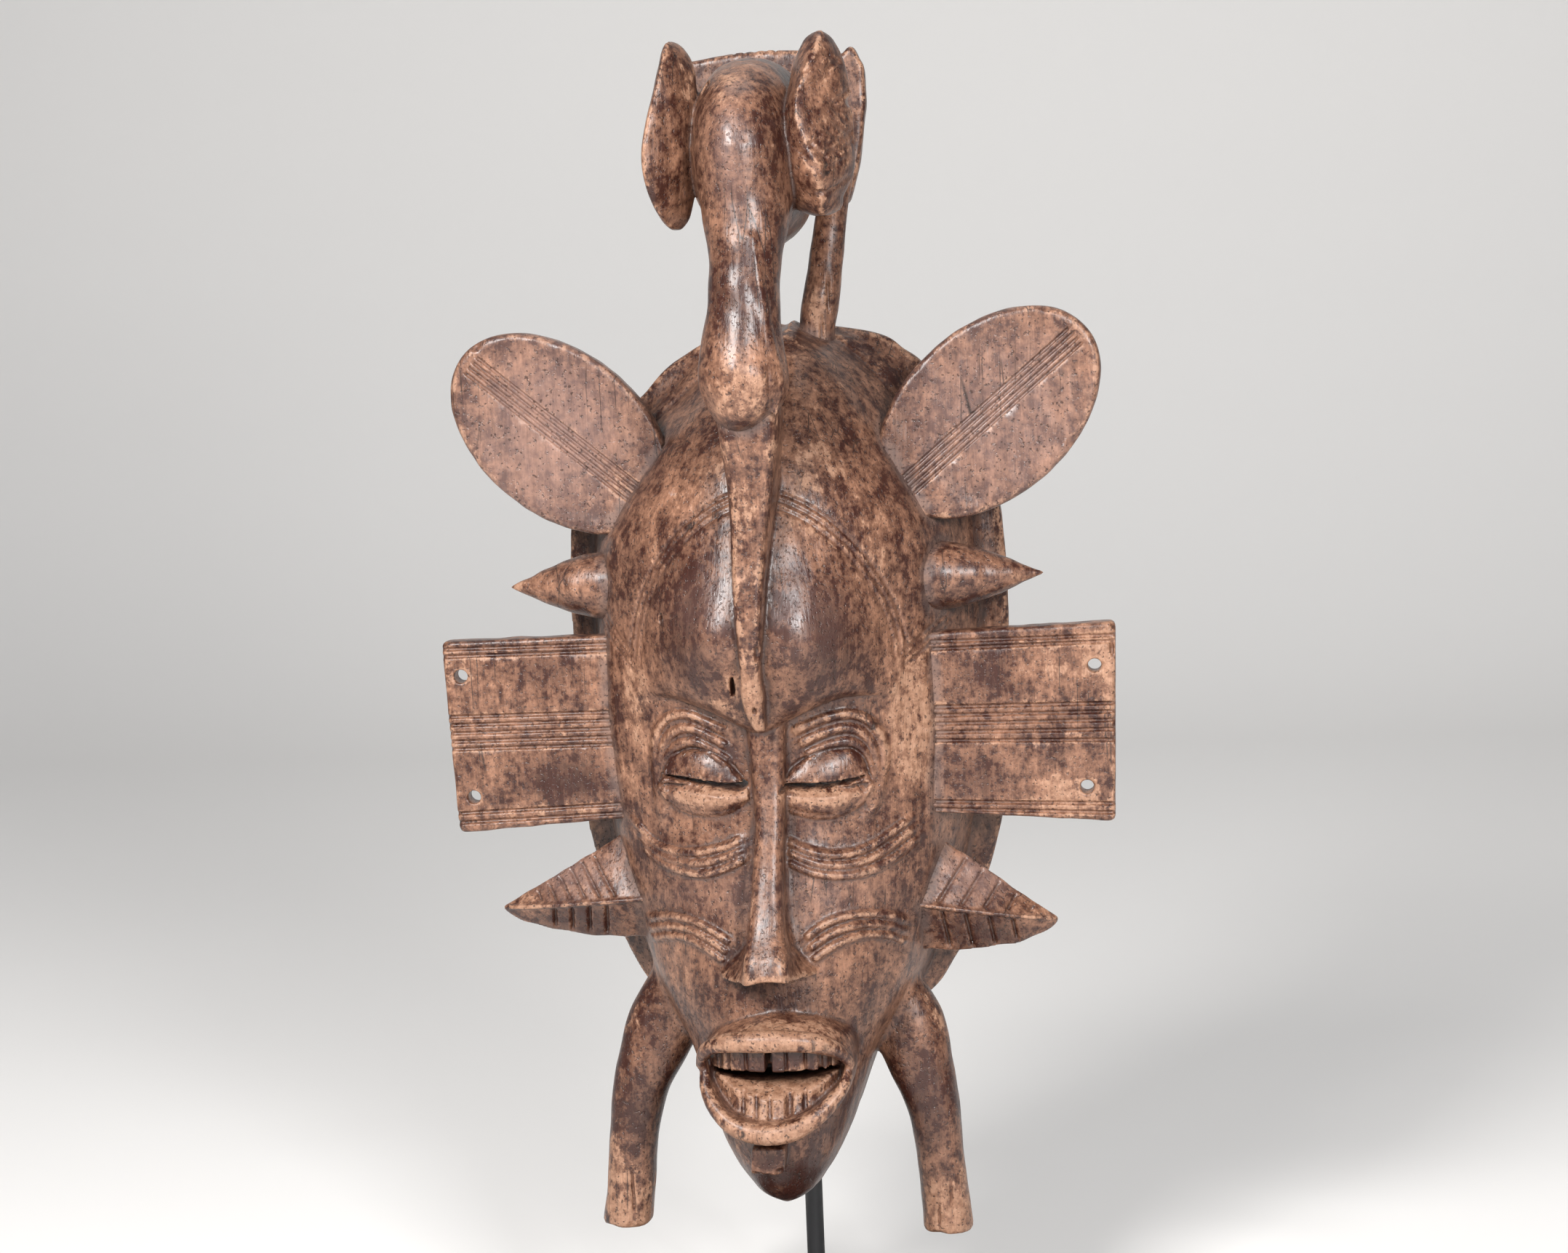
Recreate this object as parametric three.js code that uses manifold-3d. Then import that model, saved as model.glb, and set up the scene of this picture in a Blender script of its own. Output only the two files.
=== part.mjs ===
// Carved wooden face mask with a hornbill crest, held by a metal rod on a steel foot.
// Millimetres, +Z up, the carved face looks towards -Y and +X is the viewer's right.
// The origin is the centre of the foot's underside.
import * as THREE from "three";
import { LoftGeometry } from "three/addons/geometries/LoftGeometry.js";
import { mergeVertices } from "three/addons/utils/BufferGeometryUtils.js";
import Module from "manifold-3d";

// Places in the mask are measured from its back plane (y = 0) and from the floor (z = 0).
const backPlane = 30; // where the mask's back plane lies behind the foot's centre
const contactGap = 0.3;

// Head: height of the chin's tip and of the dome, and the width of the flare behind the face.
const chinTip = 69;
const domeTop = 349;
const flange = { width: 9, share: 0.6, edge: 0.17, foot: 0.28 };
const wallBend = { out: 0.12, back: 0.1 };
const chinUndercut = { from: 82, power: 1.5 };

// Profiles up the head, as [height, measure]. Depths are towards the viewer, so they are negative.
const faceHalfWidths = [
  [69, 0], [72, 7], [78, 13], [87, 19], [100, 24], [121, 31.5], [137, 40], [153, 45], [175, 50],
  [200, 53], [225, 54], [255, 53], [270, 53], [282, 52], [292, 47.5], [301, 42], [312, 35.5],
  [323, 28.5], [335, 19], [345, 7.5], [349, 0],
];
const faceEdgeDepths = [
  [69, -57], [78, -54], [100, -49], [121, -45], [140, -41], [175, -39], [225, -40], [270, -41],
  [300, -40], [320, -36], [335, -28], [345, -19], [349, -14],
];
const faceMidDepths = [
  [69, -57], [75, -66], [85, -73], [97, -76], [110, -76], [125, -74], [140, -72], [155, -70],
  [175, -67], [195, -64], [210, -63], [225, -66], [245, -72], [270, -75], [296, -71], [315, -62],
  [332, -47], [343, -32], [349, -18],
];
const midlineShifts = [
  [69, -0.4], [100, -1.2], [150, 0], [285, 0], [322, 3.5], [335, 6], [349, 7],
];
const rimEdges = {
  left: [
    [69, 0], [87, 20], [104, 27], [117, 33], [127, 46], [139, 54.5], [155, 60.5], [169, 64.5], [183, 67.5],
    [205, 69], [240, 70], [272, 70], [295, 67], [312, 59.5], [327.6, 42.5], [338, 31], [345, 14.5],
    [349, -7],
  ],
  right: [
    [69, 0], [87, 18], [104, 25], [117, 31.5], [127, 45], [139, 53.7], [155, 61], [169, 65.5], [183, 69.5],
    [205, 72], [240, 73.5], [272, 73.5], [295, 70.5], [312, 64], [327, 54], [338, 43.5], [345, 30],
    [349, 7],
  ],
};
const faceRoundness = 2.3;

// Hollow behind the face.
const hollow = { centre: 255, up: 77, down: 163, halfWidth: 57.5, wall: 14, past: 6, rows: 12, around: 11 };
const hollowCorners = 2.5;

// Forehead, eyes and the raised scars.
const lobe = { x: 15.5, y: -40, z: 256, rx: 22, ry: 45, rz: 32 };
const eye = { x: 19.5, z: 207.5, rx: 14, ry: 7, rz: 11, sunk: 3.5 };
const eyeSlit = { z: 207, halfWidth: 13.2, halfHeight: 0.95, front: -80, back: -35 };
const browRidge = { x: 20, z: 207, rx: 17, rz: 25, stepX: 2.9, stepZ: 3.4, from: 32, to: 198 };
const underEyeRidge = { inner: 6, outer: 46, turnX: 24, z: 185.4, step: 3.6, bend: 0.0168 };
const cheekRidge = { inner: 13, outer: 42, turnX: 31, z: 164.8, step: 3.1, bend: -0.0227 };
const ridgeRadius = 1.5;
const ridgeSides = 4;
const ridgeCount = 3;
const hairBand = { halfWidth: 41, base: 246, rise: 53, zigzagX: 54, zigzagZ: 256, radius: 1.5 };

// Nose, mouth and chin.
const noseLevels = [
  { z: 148, x: 0.5, y: -64, rx: 7, ry: 25 },
  { z: 153, x: 0.5, y: -64, rx: 6.8, ry: 25.5 },
  { z: 166, x: 0.6, y: -60, rx: 5.2, ry: 21.5 },
  { z: 187, x: 0.6, y: -58, rx: 4.5, ry: 16.5 },
  { z: 207, x: 0.4, y: -57, rx: 4.7, ry: 13 },
  { z: 226, x: 0.3, y: -58, rx: 5.5, ry: 12 },
];
const nostrilLevels = [
  { z: 148, x: -1, y: -69, rx: 14.6, ry: 13 },
  { z: 152.5, x: -1, y: -69, rx: 13.6, ry: 12.5 },
  { z: 157.5, x: -0.6, y: -68, rx: 9.5, ry: 10.5 },
  { z: 164, x: 0, y: -66, rx: 4, ry: 8 },
];
const mouthX = -2.4;
const mouthY = -60;
const mouthFront = -110; // in front of the lips, where the mouth's cuts start
const muzzleLevels = [
  { z: 97.5, x: mouthX, y: mouthY, rx: 6, ry: 22 },
  { z: 101, x: mouthX, y: mouthY, rx: 13, ry: 28 },
  { z: 105, x: mouthX, y: mouthY, rx: 17.5, ry: 31 },
  { z: 111, x: mouthX, y: mouthY, rx: 21.8, ry: 32 },
  { z: 116.5, x: mouthX, y: mouthY, rx: 24.5, ry: 32 },
  { z: 122, x: mouthX, y: mouthY, rx: 22.8, ry: 33 },
  { z: 128, x: mouthX, y: mouthY, rx: 19, ry: 32.5 },
  { z: 133, x: mouthX, y: mouthY, rx: 13, ry: 28 },
  { z: 137, x: mouthX, y: mouthY, rx: 6, ry: 17 },
];
const mouthPocket = { halfWidth: 20.5, top: 127.5, corner: 116.8, bottom: 105.3, back: -79 };
const upperTeeth = { bottom: 120.9, top: 127.7, rx: 18.2, ry: 28.5, halfGap: 0.7, gapBack: -82 };
const lowerTeeth = { bottom: 105.6, top: 115, rx: 16.8, ry: 29.5, count: 6, width: 4.2, halfGap: 0.4 };
const mouthSlit = { halfWidth: 17.5, bottom: 118.4, top: 121, back: -40 };
const chinKnob = { x: -2.3, y: -78, z: 89.5, rx: 5.6, ry: 8, rz: 5.4 };

// Ears, spikes, side panels and leaves, all on the side wall of the head. The carver's two sides differ
// a little, so some measures are given for the viewer's left and right.
const grooveRadius = 0.8;
const ears = {
  left: { x: 65.8, z: 316.6, long: 40, short: 26.1 },
  right: { x: 70.9, z: 318.8, long: 40.5, short: 26.6 },
};
const ear = { tilt: 40, front: -38, thickness: 8, bevel: 1.6, inner: 30, outer: 36 };
const earGrooves = [-3.1, -1.05, 1.05, 3.1];
const spikeTips = { left: 84.8, right: 86.3 };
const spike = { root: 46, y: -33, z: 267.6, radius: 11, profile: [1, 0.98, 0.8, 0.46, 0] };
const panels = {
  left: { outerTop: 107, outerBottom: 104.4, upperHole: [101.2, 240], lowerHole: [98.8, 200.6] },
  right: { outerTop: 108.8, outerBottom: 107.2, upperHole: [101.8, 238.6], lowerHole: [98.5, 199.9] },
};
const panel = { inner: 45, top: 251.3, bottomInner: 193, bottomOuter: 188.6, front: -41, back: -33 };
const panelHoleRadius = 2.2;
// Heights of the grooves at the inner and the outer end.
const panelGrooves = {
  left: [
    [249.4, 248.9], [247.2, 246.5], [227.4, 226.9], [224.8, 224.2], [222.1, 221.5], [219.4, 218.8],
    [216.9, 216.3], [197.6, 195.2], [194.6, 192.2],
  ],
  right: [
    [247.3, 248], [244.9, 246.1], [226.5, 226.5], [223.8, 223.8], [221.1, 221.1], [218.4, 218.2],
    [215.8, 214.8], [196.3, 194.4], [193.9, 191.5],
  ],
};
const leaves = {
  left: { tip: 94, tipZ: 162, topZ: 190, ridgeZ: 167, bottomZ: 151.5 },
  right: { tip: 88.5, tipZ: 155.3, topZ: 188, ridgeZ: 164, bottomZ: 146 },
};
const leaf = { root: 40, rise: 5, back: -27, tipBack: -29, ridgeY: -42, roundness: 1.7 };
const leafGrooves = { at: [51.5, 58, 64.5, 71], leanUp: 7, leanDown: 1.5, reach: 0.9 };

// Legs: centre and half width at each height, for the viewer's left and right.
const legHalfDepth = 8;
const legLevels = {
  left: [
    { z: 54.7, x: -57.1, y: -29, rx: 8.3, ry: legHalfDepth },
    { z: 65, x: -55.7, y: -29, rx: 8, ry: legHalfDepth },
    { z: 86.7, x: -53.2, y: -29, rx: 8.2, ry: legHalfDepth },
    { z: 99, x: -50.9, y: -28, rx: 9.2, ry: 9 },
    { z: 111, x: -46.4, y: -27, rx: 11.5, ry: 10 },
    { z: 126, x: -40.5, y: -26, rx: 13, ry: 10 },
    { z: 142, x: -35, y: -26, rx: 9, ry: 8 },
  ],
  right: [
    { z: 51.8, x: 49.2, y: -29, rx: 8.2, ry: legHalfDepth },
    { z: 64, x: 48.3, y: -29, rx: 7.8, ry: legHalfDepth },
    { z: 79, x: 47.1, y: -29, rx: 7.8, ry: legHalfDepth },
    { z: 93, x: 45.4, y: -28, rx: 8.7, ry: 9 },
    { z: 108, x: 41.2, y: -27, rx: 11, ry: 10 },
    { z: 125, x: 36.3, y: -26, rx: 12.5, ry: 10 },
    { z: 140, x: 32, y: -26, rx: 8, ry: 8 },
  ],
};

// Hornbill: body, neck, head, beak, wings, tail and its two legs.
const birdBody = { x: 1, y: -39, z: 402, rx: 18.5, ry: 53, rz: 29.5 };
const neckLevels = [
  { z: 317.4, x: -1.5, y: -86, rx: 1, ry: 2 },
  { z: 319.5, x: -1.3, y: -86, rx: 5, ry: 6 },
  { z: 325, x: -0.1, y: -86, rx: 10.5, ry: 11.8 },
  { z: 333, x: 0.2, y: -86, rx: 13.6, ry: 14 },
  { z: 338, x: -0.1, y: -86, rx: 13.6, ry: 14 },
  { z: 347, x: 0, y: -85, rx: 12.1, ry: 12.4 },
  { z: 357, x: 0.8, y: -84, rx: 11.2, ry: 11.4 },
  { z: 366, x: 1.4, y: -82, rx: 11.2, ry: 11.6 },
  { z: 380, x: 1.8, y: -78, rx: 12.8, ry: 14 },
  { z: 402, x: 1, y: -70, rx: 13.8, ry: 20 },
];
const beakLevels = [
  { z: 226, x: -0.7, y: -72, rx: 1.2, ry: 7 },
  { z: 243, x: -1.2, y: -76, rx: 3.4, ry: 10 },
  { z: 258, x: -1.1, y: -78, rx: 4.4, ry: 11 },
  { z: 277, x: -0.8, y: -77, rx: 5.6, ry: 11 },
  { z: 297, x: 0.2, y: -76, rx: 7, ry: 12 },
  { z: 322, x: 0, y: -80, rx: 8.6, ry: 12 },
  { z: 331, x: 0, y: -81, rx: 8.6, ry: 12 },
];
const beakCorners = 3.2;
// A wing's share of its full width at each height, with its full half width and half depth.
const wings = {
  left: {
    x: -21.2, splay: 8, halfWidth: 8.3,
    levels: [
      [379.4, 0.12], [382, 0.45], [387, 0.72], [394, 0.93], [403.5, 1], [413, 0.95], [422.5, 0.8],
      [429, 0.62], [433.5, 0.4], [436, 0.12],
    ],
  },
  right: {
    x: 21.6, splay: 6, halfWidth: 12.4,
    levels: [
      [382.2, 0.12], [384.5, 0.46], [388.5, 0.73], [394, 0.94], [402, 1], [412, 0.93], [420.5, 0.77],
      [428, 0.61], [433, 0.43], [437.5, 0.12],
    ],
  },
};
const wing = { y: -64, halfDepth: 19, corners: 1.6 };
const tail = { x: 1, back: 14, thickness: 8, bevel: 1, top: 433.8, bottom: 386, crown: 3.5, belly: 1 };
const tailWidth = { top: 30.8, bottom: 24.5, hornTip: 28, hornFoot: 24, hornRise: 2.8 };
const birdLeg = { midX: 1.5, y: -9, bottom: 334, top: 396, halfBottom: 12.5, halfTop: 22, radius: 6 };

// Stand: round rod with a bent arm and a cross bar inside the dome, a rest at the chin, a foot.
const rod = { radius: 3, x: 1, y: 8, bottom: 3.3, bend: 292, restZ: 83, sides: 8 };
const arm = { y: -24, z: 314, barHalf: 13 };
const foot = { width: 150, depth: 130, height: 8, corner: 6, collarRadius: 9, collarTop: 20 };

const wasm = await Module();
wasm.setup();

// A closed geometry as a solid: shared points are merged, faces without area are dropped.
function solidOf(geometry) {
  const bare = new THREE.BufferGeometry();
  bare.setAttribute("position", geometry.getAttribute("position"));
  bare.setIndex(geometry.getIndex());
  const merged = mergeVertices(bare, 1e-4);
  const points = merged.attributes.position.array;
  const faces = [];
  let volume = 0;
  for (let i = 0; i < merged.index.count; i += 3) {
    const [a, b, c] = [0, 1, 2].map((k) => merged.index.getX(i + k));
    if (a === b || b === c || c === a) continue;
    faces.push([a, b, c]);
    const [p, q, r] = [a, b, c].map((k) => new THREE.Vector3().fromArray(points, 3 * k));
    volume += p.dot(q.cross(r));
  }
  const outward = volume > 0 ? faces : faces.map(([a, b, c]) => [a, c, b]);
  return new wasm.Manifold(new wasm.Mesh({
    numProp: 3,
    vertProperties: Float32Array.from(points),
    triVerts: Uint32Array.from(outward.flat()),
  }));
}

function geometryOf(solid) {
  const mesh = solid.getMesh();
  const geometry = new THREE.BufferGeometry();
  geometry.setAttribute("position", new THREE.BufferAttribute(Float32Array.from(mesh.vertProperties), 3));
  geometry.setIndex(new THREE.BufferAttribute(Uint32Array.from(mesh.triVerts), 1));
  geometry.computeVertexNormals();
  return geometry;
}

const joined = (solids) => solids.reduce((whole, solid) => whole.add(solid));
const cutBy = (solid, tools) => tools.reduce((left, tool) => left.subtract(tool), solid);
const degrees = THREE.MathUtils.degToRad;

// A smooth value between the rows of a profile.
function along(profile, height) {
  const last = profile.length - 1;
  const z = THREE.MathUtils.clamp(height, profile[0][0], profile[last][0]);
  let i = 0;
  while (i < last - 1 && z > profile[i + 1][0]) i += 1;
  const slope = (k) => {
    const [from, to] = [Math.max(k - 1, 0), Math.min(k + 1, last)];
    return (profile[to][1] - profile[from][1]) / (profile[to][0] - profile[from][0]);
  };
  const span = profile[i + 1][0] - profile[i][0];
  const t = (z - profile[i][0]) / span;
  const ease = t * t * (3 - 2 * t);
  const leave = slope(i) * span * t * (1 - t) ** 2;
  const arrive = slope(i + 1) * span * t * t * (t - 1);
  return profile[i][1] * (1 - ease) + profile[i + 1][1] * ease + leave + arrive;
}

const bow = (t, power) => Math.max(0, 1 - Math.abs(t) ** power) ** (1 / power);

// A lofted solid with one horizontal elliptical section at each level.
function column(levels, sides, rows, corners = 2) {
  const keys = ["x", "y", "rx", "ry"];
  const profiles = keys.map((key) => levels.map((level) => [level.z, level[key]]));
  const low = levels[0].z;
  const high = levels[levels.length - 1].z;
  const sections = [];
  for (let i = 0; i <= rows; i += 1) {
    const z = low + ((high - low) * i) / rows;
    const [x, y, rx, ry] = profiles.map((profile) => along(profile, z));
    const points = [];
    for (let j = 0; j < sides; j += 1) {
      const angle = (2 * Math.PI * (j + 0.5)) / sides;
      const [c, s] = [Math.cos(angle), Math.sin(angle)];
      const reach = (Math.abs(c) ** corners + Math.abs(s) ** corners) ** (-1 / corners);
      points.push(new THREE.Vector3(x + rx * c * reach, y + ry * s * reach, z));
    }
    sections.push(points);
  }
  return solidOf(new LoftGeometry(sections, { capStart: true, capEnd: true }));
}

function ellipsoid({ x, y, z, rx, ry, rz }, around = 16, down = 12) {
  const geometry = new THREE.SphereGeometry(1, around, down);
  geometry.rotateX(Math.PI / 2);
  geometry.scale(rx, ry, rz);
  geometry.translate(x, y, z);
  return solidOf(geometry);
}

function box(x0, x1, y0, y1, z0, z1) {
  const geometry = new THREE.BoxGeometry(x1 - x0, y1 - y0, z1 - z0);
  geometry.translate((x0 + x1) / 2, (y0 + y1) / 2, (z0 + z1) / 2);
  return solidOf(geometry);
}

// An outline drawn in the X-Z plane, made thick from its front to its back.
function plate(shape, front, back, bevel = 0, curveSegments = 12) {
  const geometry = new THREE.ExtrudeGeometry(shape, {
    depth: back - front - 2 * bevel,
    bevelEnabled: bevel > 0,
    bevelThickness: bevel,
    bevelSize: bevel,
    bevelOffset: -bevel,
    bevelSegments: 1,
    curveSegments,
  });
  geometry.rotateX(Math.PI / 2);
  geometry.translate(0, back - bevel, 0);
  return solidOf(geometry);
}

// A round bar along a path through the given points.
function bar(points, radius, sides, steps) {
  const section = new THREE.Shape();
  for (let i = 0; i < sides; i += 1) {
    const angle = (2 * Math.PI * i) / sides;
    section[i ? "lineTo" : "moveTo"](radius * Math.cos(angle), radius * Math.sin(angle));
  }
  const path = new THREE.CatmullRomCurve3(points, false, "centripetal");
  return solidOf(new THREE.ExtrudeGeometry(section, { steps, extrudePath: path, bevelEnabled: false }));
}

// The carved ground of the face, from its middle (t = 0) to its edge (t = 1).
function frontDepth(t, z) {
  const edge = along(faceEdgeDepths, z);
  return edge + (along(faceMidDepths, z) - edge) * (1 - t ** faceRoundness);
}

// How far the face lies in front of the back plane at a place.
function faceDepth(x, z) {
  const across = Math.abs(x - along(midlineShifts, z)) / Math.max(along(faceHalfWidths, z), 0.01);
  return frontDepth(Math.min(across, 1), z);
}

// One side of a horizontal section of the head, from the back corner of the rim to beside the midline.
function sideOfSection(side, z) {
  const middle = side * along(midlineShifts, z);
  const half = along(faceHalfWidths, z);
  const edge = along(faceEdgeDepths, z);
  const rim = Math.max(along(side > 0 ? rimEdges.right : rimEdges.left, z), middle + half + 0.01);
  const underside = THREE.MathUtils.clamp((chinUndercut.from - z) / (chinUndercut.from - chinTip), 0, 1);
  const back = edge * underside ** chinUndercut.power;
  const corner = middle + half;
  const inner = rim - Math.min(flange.width, (rim - corner) * flange.share);
  const points = [
    [rim, back],
    [rim, back + (edge - back) * flange.edge],
    [inner, back + (edge - back) * flange.foot],
    [corner + (inner - corner) * wallBend.out, edge + (back - edge) * wallBend.back],
  ];
  for (const t of [1, 0.86, 0.7, 0.52, 0.33, 0.14]) points.push([middle + half * t, frontDepth(t, z)]);
  return points.map(([x, y]) => new THREE.Vector3(side * x, y, z));
}

function headSection(z) {
  const middle = new THREE.Vector3(along(midlineShifts, z), along(faceMidDepths, z), z);
  return [...sideOfSection(-1, z), middle, ...sideOfSection(1, z).reverse()];
}

function headBlock() {
  const rows = 30;
  const sections = [];
  for (let i = 0; i <= rows; i += 1) {
    const t = i / rows;
    const eased = 0.75 * t + 0.25 * (1 - Math.cos(Math.PI * t)) / 2;
    sections.push(headSection(chinTip + (domeTop - chinTip) * eased));
  }
  for (const point of sections[0]) point.x = along(midlineShifts, chinTip);
  for (const point of sections[rows]) point.x = along(midlineShifts, domeTop);
  return solidOf(new LoftGeometry(sections));
}

function hollowBlock() {
  const { rows, around } = hollow;
  const sections = [];
  for (let i = 0; i <= rows; i += 1) {
    const t = -Math.cos((Math.PI * i) / rows);
    const z = hollow.centre + t * (t > 0 ? hollow.up : hollow.down);
    const half = hollow.halfWidth * bow(t, 2);
    const depth = (along(faceMidDepths, z) + hollow.wall) * bow(t, 3);
    const points = [new THREE.Vector3(-half, hollow.past, z)];
    for (let j = 0; j <= around; j += 1) {
      const angle = Math.PI * (1 - j / around);
      const [c, s] = [Math.cos(angle), Math.sin(angle)];
      const reach = (Math.abs(c) ** hollowCorners + s ** hollowCorners) ** (-1 / hollowCorners);
      points.push(new THREE.Vector3(half * c * reach, depth * s * reach, z));
    }
    points.push(new THREE.Vector3(half, hollow.past, z));
    sections.push(points);
  }
  return solidOf(new LoftGeometry(sections));
}

// A raised scar: a bar half sunk in the face along the curve z = heightAt(x).
function scar(from, to, heightAt, radius = ridgeRadius, steps = 5) {
  const points = [];
  for (let i = 0; i <= steps; i += 1) {
    const [x, z] = heightAt(from + ((to - from) * i) / steps);
    points.push(new THREE.Vector3(x, faceDepth(x, z), z));
  }
  return bar(points, radius, ridgeSides, steps);
}

function scars() {
  const made = [];
  for (const side of [-1, 1]) {
    for (let i = 0; i < ridgeCount; i += 1) {
      const { x, z, rx, rz, stepX, stepZ, from, to } = browRidge;
      made.push(scar(degrees(from), degrees(to), (angle) => [
        side * (x - (rx - i * stepX) * Math.cos(angle)),
        z + (rz - i * stepZ) * Math.sin(angle),
      ]));
      for (const line of [underEyeRidge, cheekRidge]) {
        made.push(scar(line.inner, line.outer, (across) => [
          side * across,
          line.z - i * line.step + line.bend * (across - line.turnX) ** 2,
        ]));
      }
    }
  }
  return made;
}

// The roll that arches over the forehead and turns up to the panels in a short zigzag.
function hairline() {
  const { halfWidth, base, rise, zigzagX, zigzagZ, radius } = hairBand;
  const onFace = (x, z) => new THREE.Vector3(x, faceDepth(x, z), z);
  const points = [onFace(-zigzagX, zigzagZ)];
  for (let i = 0; i <= 12; i += 1) {
    const angle = Math.PI * (1 - i / 12);
    points.push(onFace(halfWidth * Math.cos(angle), base + rise * Math.sin(angle)));
  }
  points.push(onFace(zigzagX, zigzagZ));
  return bar(points, radius, ridgeSides, 16);
}

// A pointed oval in the X-Z plane, about the given corner height.
function lens(x, halfWidth, corner, top, bottom) {
  const shape = new THREE.Shape();
  shape.moveTo(x - halfWidth, corner);
  shape.quadraticCurveTo(x, 2 * bottom - corner, x + halfWidth, corner);
  shape.quadraticCurveTo(x, 2 * top - corner, x - halfWidth, corner);
  return shape;
}

function eyes() {
  return [-1, 1].map((side) => {
    const x = side * eye.x;
    return ellipsoid({ ...eye, x, y: faceDepth(x, eye.z) + eye.sunk }, 12, 6);
  });
}

function eyeSlits() {
  return [-1, 1].map((side) => {
    const { z, halfWidth, halfHeight, front, back } = eyeSlit;
    return plate(lens(side * eye.x, halfWidth, z, z + halfHeight, z - halfHeight), front, back, 0, 6);
  });
}

function nose() {
  return column(noseLevels, 8, 7).add(column(nostrilLevels, 10, 3));
}

// A bent row of teeth: an upright slab that follows the mouth's curve.
function teethRow({ bottom, top, rx, ry }) {
  const level = { x: mouthX, y: mouthY, rx, ry };
  return column([{ ...level, z: bottom }, { ...level, z: top }], 14, 1);
}

function mouth() {
  const { halfWidth, corner, top, bottom, back } = mouthPocket;
  const pocket = plate(lens(mouthX, halfWidth, corner, top, bottom), mouthFront, back, 0, 8);
  const slot = (x, half, deep, low, high) => box(x - half, x + half, mouthFront, deep, low - 2, high + 2);
  const gaps = [slot(mouthX, upperTeeth.halfGap, upperTeeth.gapBack, upperTeeth.bottom, upperTeeth.top)];
  for (let i = 1; i < lowerTeeth.count; i += 1) {
    const x = (i - lowerTeeth.count / 2) * lowerTeeth.width;
    const deep = mouthY + 1 - lowerTeeth.ry * Math.sqrt(1 - (x / lowerTeeth.rx) ** 2);
    gaps.push(slot(mouthX + x, lowerTeeth.halfGap, deep, lowerTeeth.bottom, lowerTeeth.top));
  }
  const teeth = cutBy(teethRow(upperTeeth).add(teethRow(lowerTeeth)), gaps);
  return cutBy(column(muzzleLevels, 16, 9), [pocket]).add(teeth);
}

function mouthOpening() {
  const { halfWidth, bottom, top, back } = mouthSlit;
  return plate(lens(mouthX, halfWidth, (top + bottom) / 2, top, bottom), mouthFront, back, 0, 6);
}

// A straight V-shaped groove whose middle line lies in the surface.
const groove = (from, to) => bar([from, to], grooveRadius, 4, 1);

const mirrored = (solid, side) => (side > 0 ? solid : solid.mirror([1, 0, 0]));

function earPlate(side) {
  const { x, z, long, short } = side > 0 ? ears.right : ears.left;
  const shape = new THREE.Shape();
  shape.absellipse(0, 0, long, short, 0, 2 * Math.PI);
  const blank = plate(shape, ear.front, ear.front + ear.thickness, ear.bevel, 10);
  const grooves = earGrooves.map((offset) => groove(
    new THREE.Vector3(-ear.inner, ear.front, offset),
    new THREE.Vector3(ear.outer, ear.front, offset),
  ));
  const upright = cutBy(blank, grooves).rotate([0, -ear.tilt, 0]).translate([x, 0, z]);
  return mirrored(upright, side);
}

function sideSpike(side) {
  const tip = side > 0 ? spikeTips.right : spikeTips.left;
  const step = (tip - spike.root) / (spike.profile.length - 1);
  const profile = spike.profile.map((reach, i) => new THREE.Vector2(spike.radius * reach, step * i));
  const geometry = new THREE.LatheGeometry([new THREE.Vector2(0, 0), ...profile], 10);
  geometry.rotateZ(-Math.PI / 2);
  geometry.translate(spike.root, spike.y, spike.z);
  return mirrored(solidOf(geometry), side);
}

function sidePanel(side) {
  const { outerTop, outerBottom, upperHole, lowerHole } = side > 0 ? panels.right : panels.left;
  const shape = new THREE.Shape();
  shape.moveTo(panel.inner, panel.bottomInner);
  shape.lineTo(outerBottom, panel.bottomOuter);
  shape.lineTo(outerTop, panel.top);
  shape.lineTo(panel.inner, panel.top);
  for (const [x, z] of [upperHole, lowerHole]) {
    const hole = new THREE.Path();
    hole.absarc(x, z, panelHoleRadius, 0, 2 * Math.PI, true);
    shape.holes.push(hole);
  }
  const heights = side > 0 ? panelGrooves.right : panelGrooves.left;
  const grooves = heights.map(([innerZ, outerZ]) => groove(
    new THREE.Vector3(panel.inner, panel.front, innerZ),
    new THREE.Vector3(outerTop + 1, panel.front, outerZ),
  ));
  return mirrored(cutBy(plate(shape, panel.front, panel.back, 0, 5), grooves), side);
}

// A ribbed leaf: a three-sided wedge with its ridge to the front, coming to a point at the tip.
function sideLeaf(side) {
  const { tip, tipZ, topZ, ridgeZ, bottomZ } = side > 0 ? leaves.right : leaves.left;
  const rows = 6;
  const sectionAt = (x) => {
    const t = (x - leaf.root) / (tip - leaf.root);
    const open = bow(t, leaf.roundness);
    const z = ridgeZ + (tipZ - ridgeZ) * t;
    const back = leaf.back + (leaf.tipBack - leaf.back) * t;
    return [
      new THREE.Vector3(x, back, z + (topZ + leaf.rise - ridgeZ) * (1 - t)),
      new THREE.Vector3(x, back + (leaf.ridgeY - leaf.back) * open, z),
      new THREE.Vector3(x, back, z - (ridgeZ - bottomZ) * open),
    ];
  };
  const sections = [];
  for (let i = 0; i <= rows; i += 1) {
    sections.push(sectionAt(leaf.root + ((tip - leaf.root) * i) / rows));
  }
  const grooves = leafGrooves.at.flatMap((x) => {
    const start = sectionAt(x)[1];
    return [[leafGrooves.leanUp, 0], [leafGrooves.leanDown, 2]].map(([lean, edge]) => {
      const end = sectionAt(x + lean);
      return groove(start, end[1].clone().lerp(end[edge], leafGrooves.reach));
    });
  });
  return mirrored(cutBy(solidOf(new LoftGeometry(sections, { capStart: true })), grooves), side);
}

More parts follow.
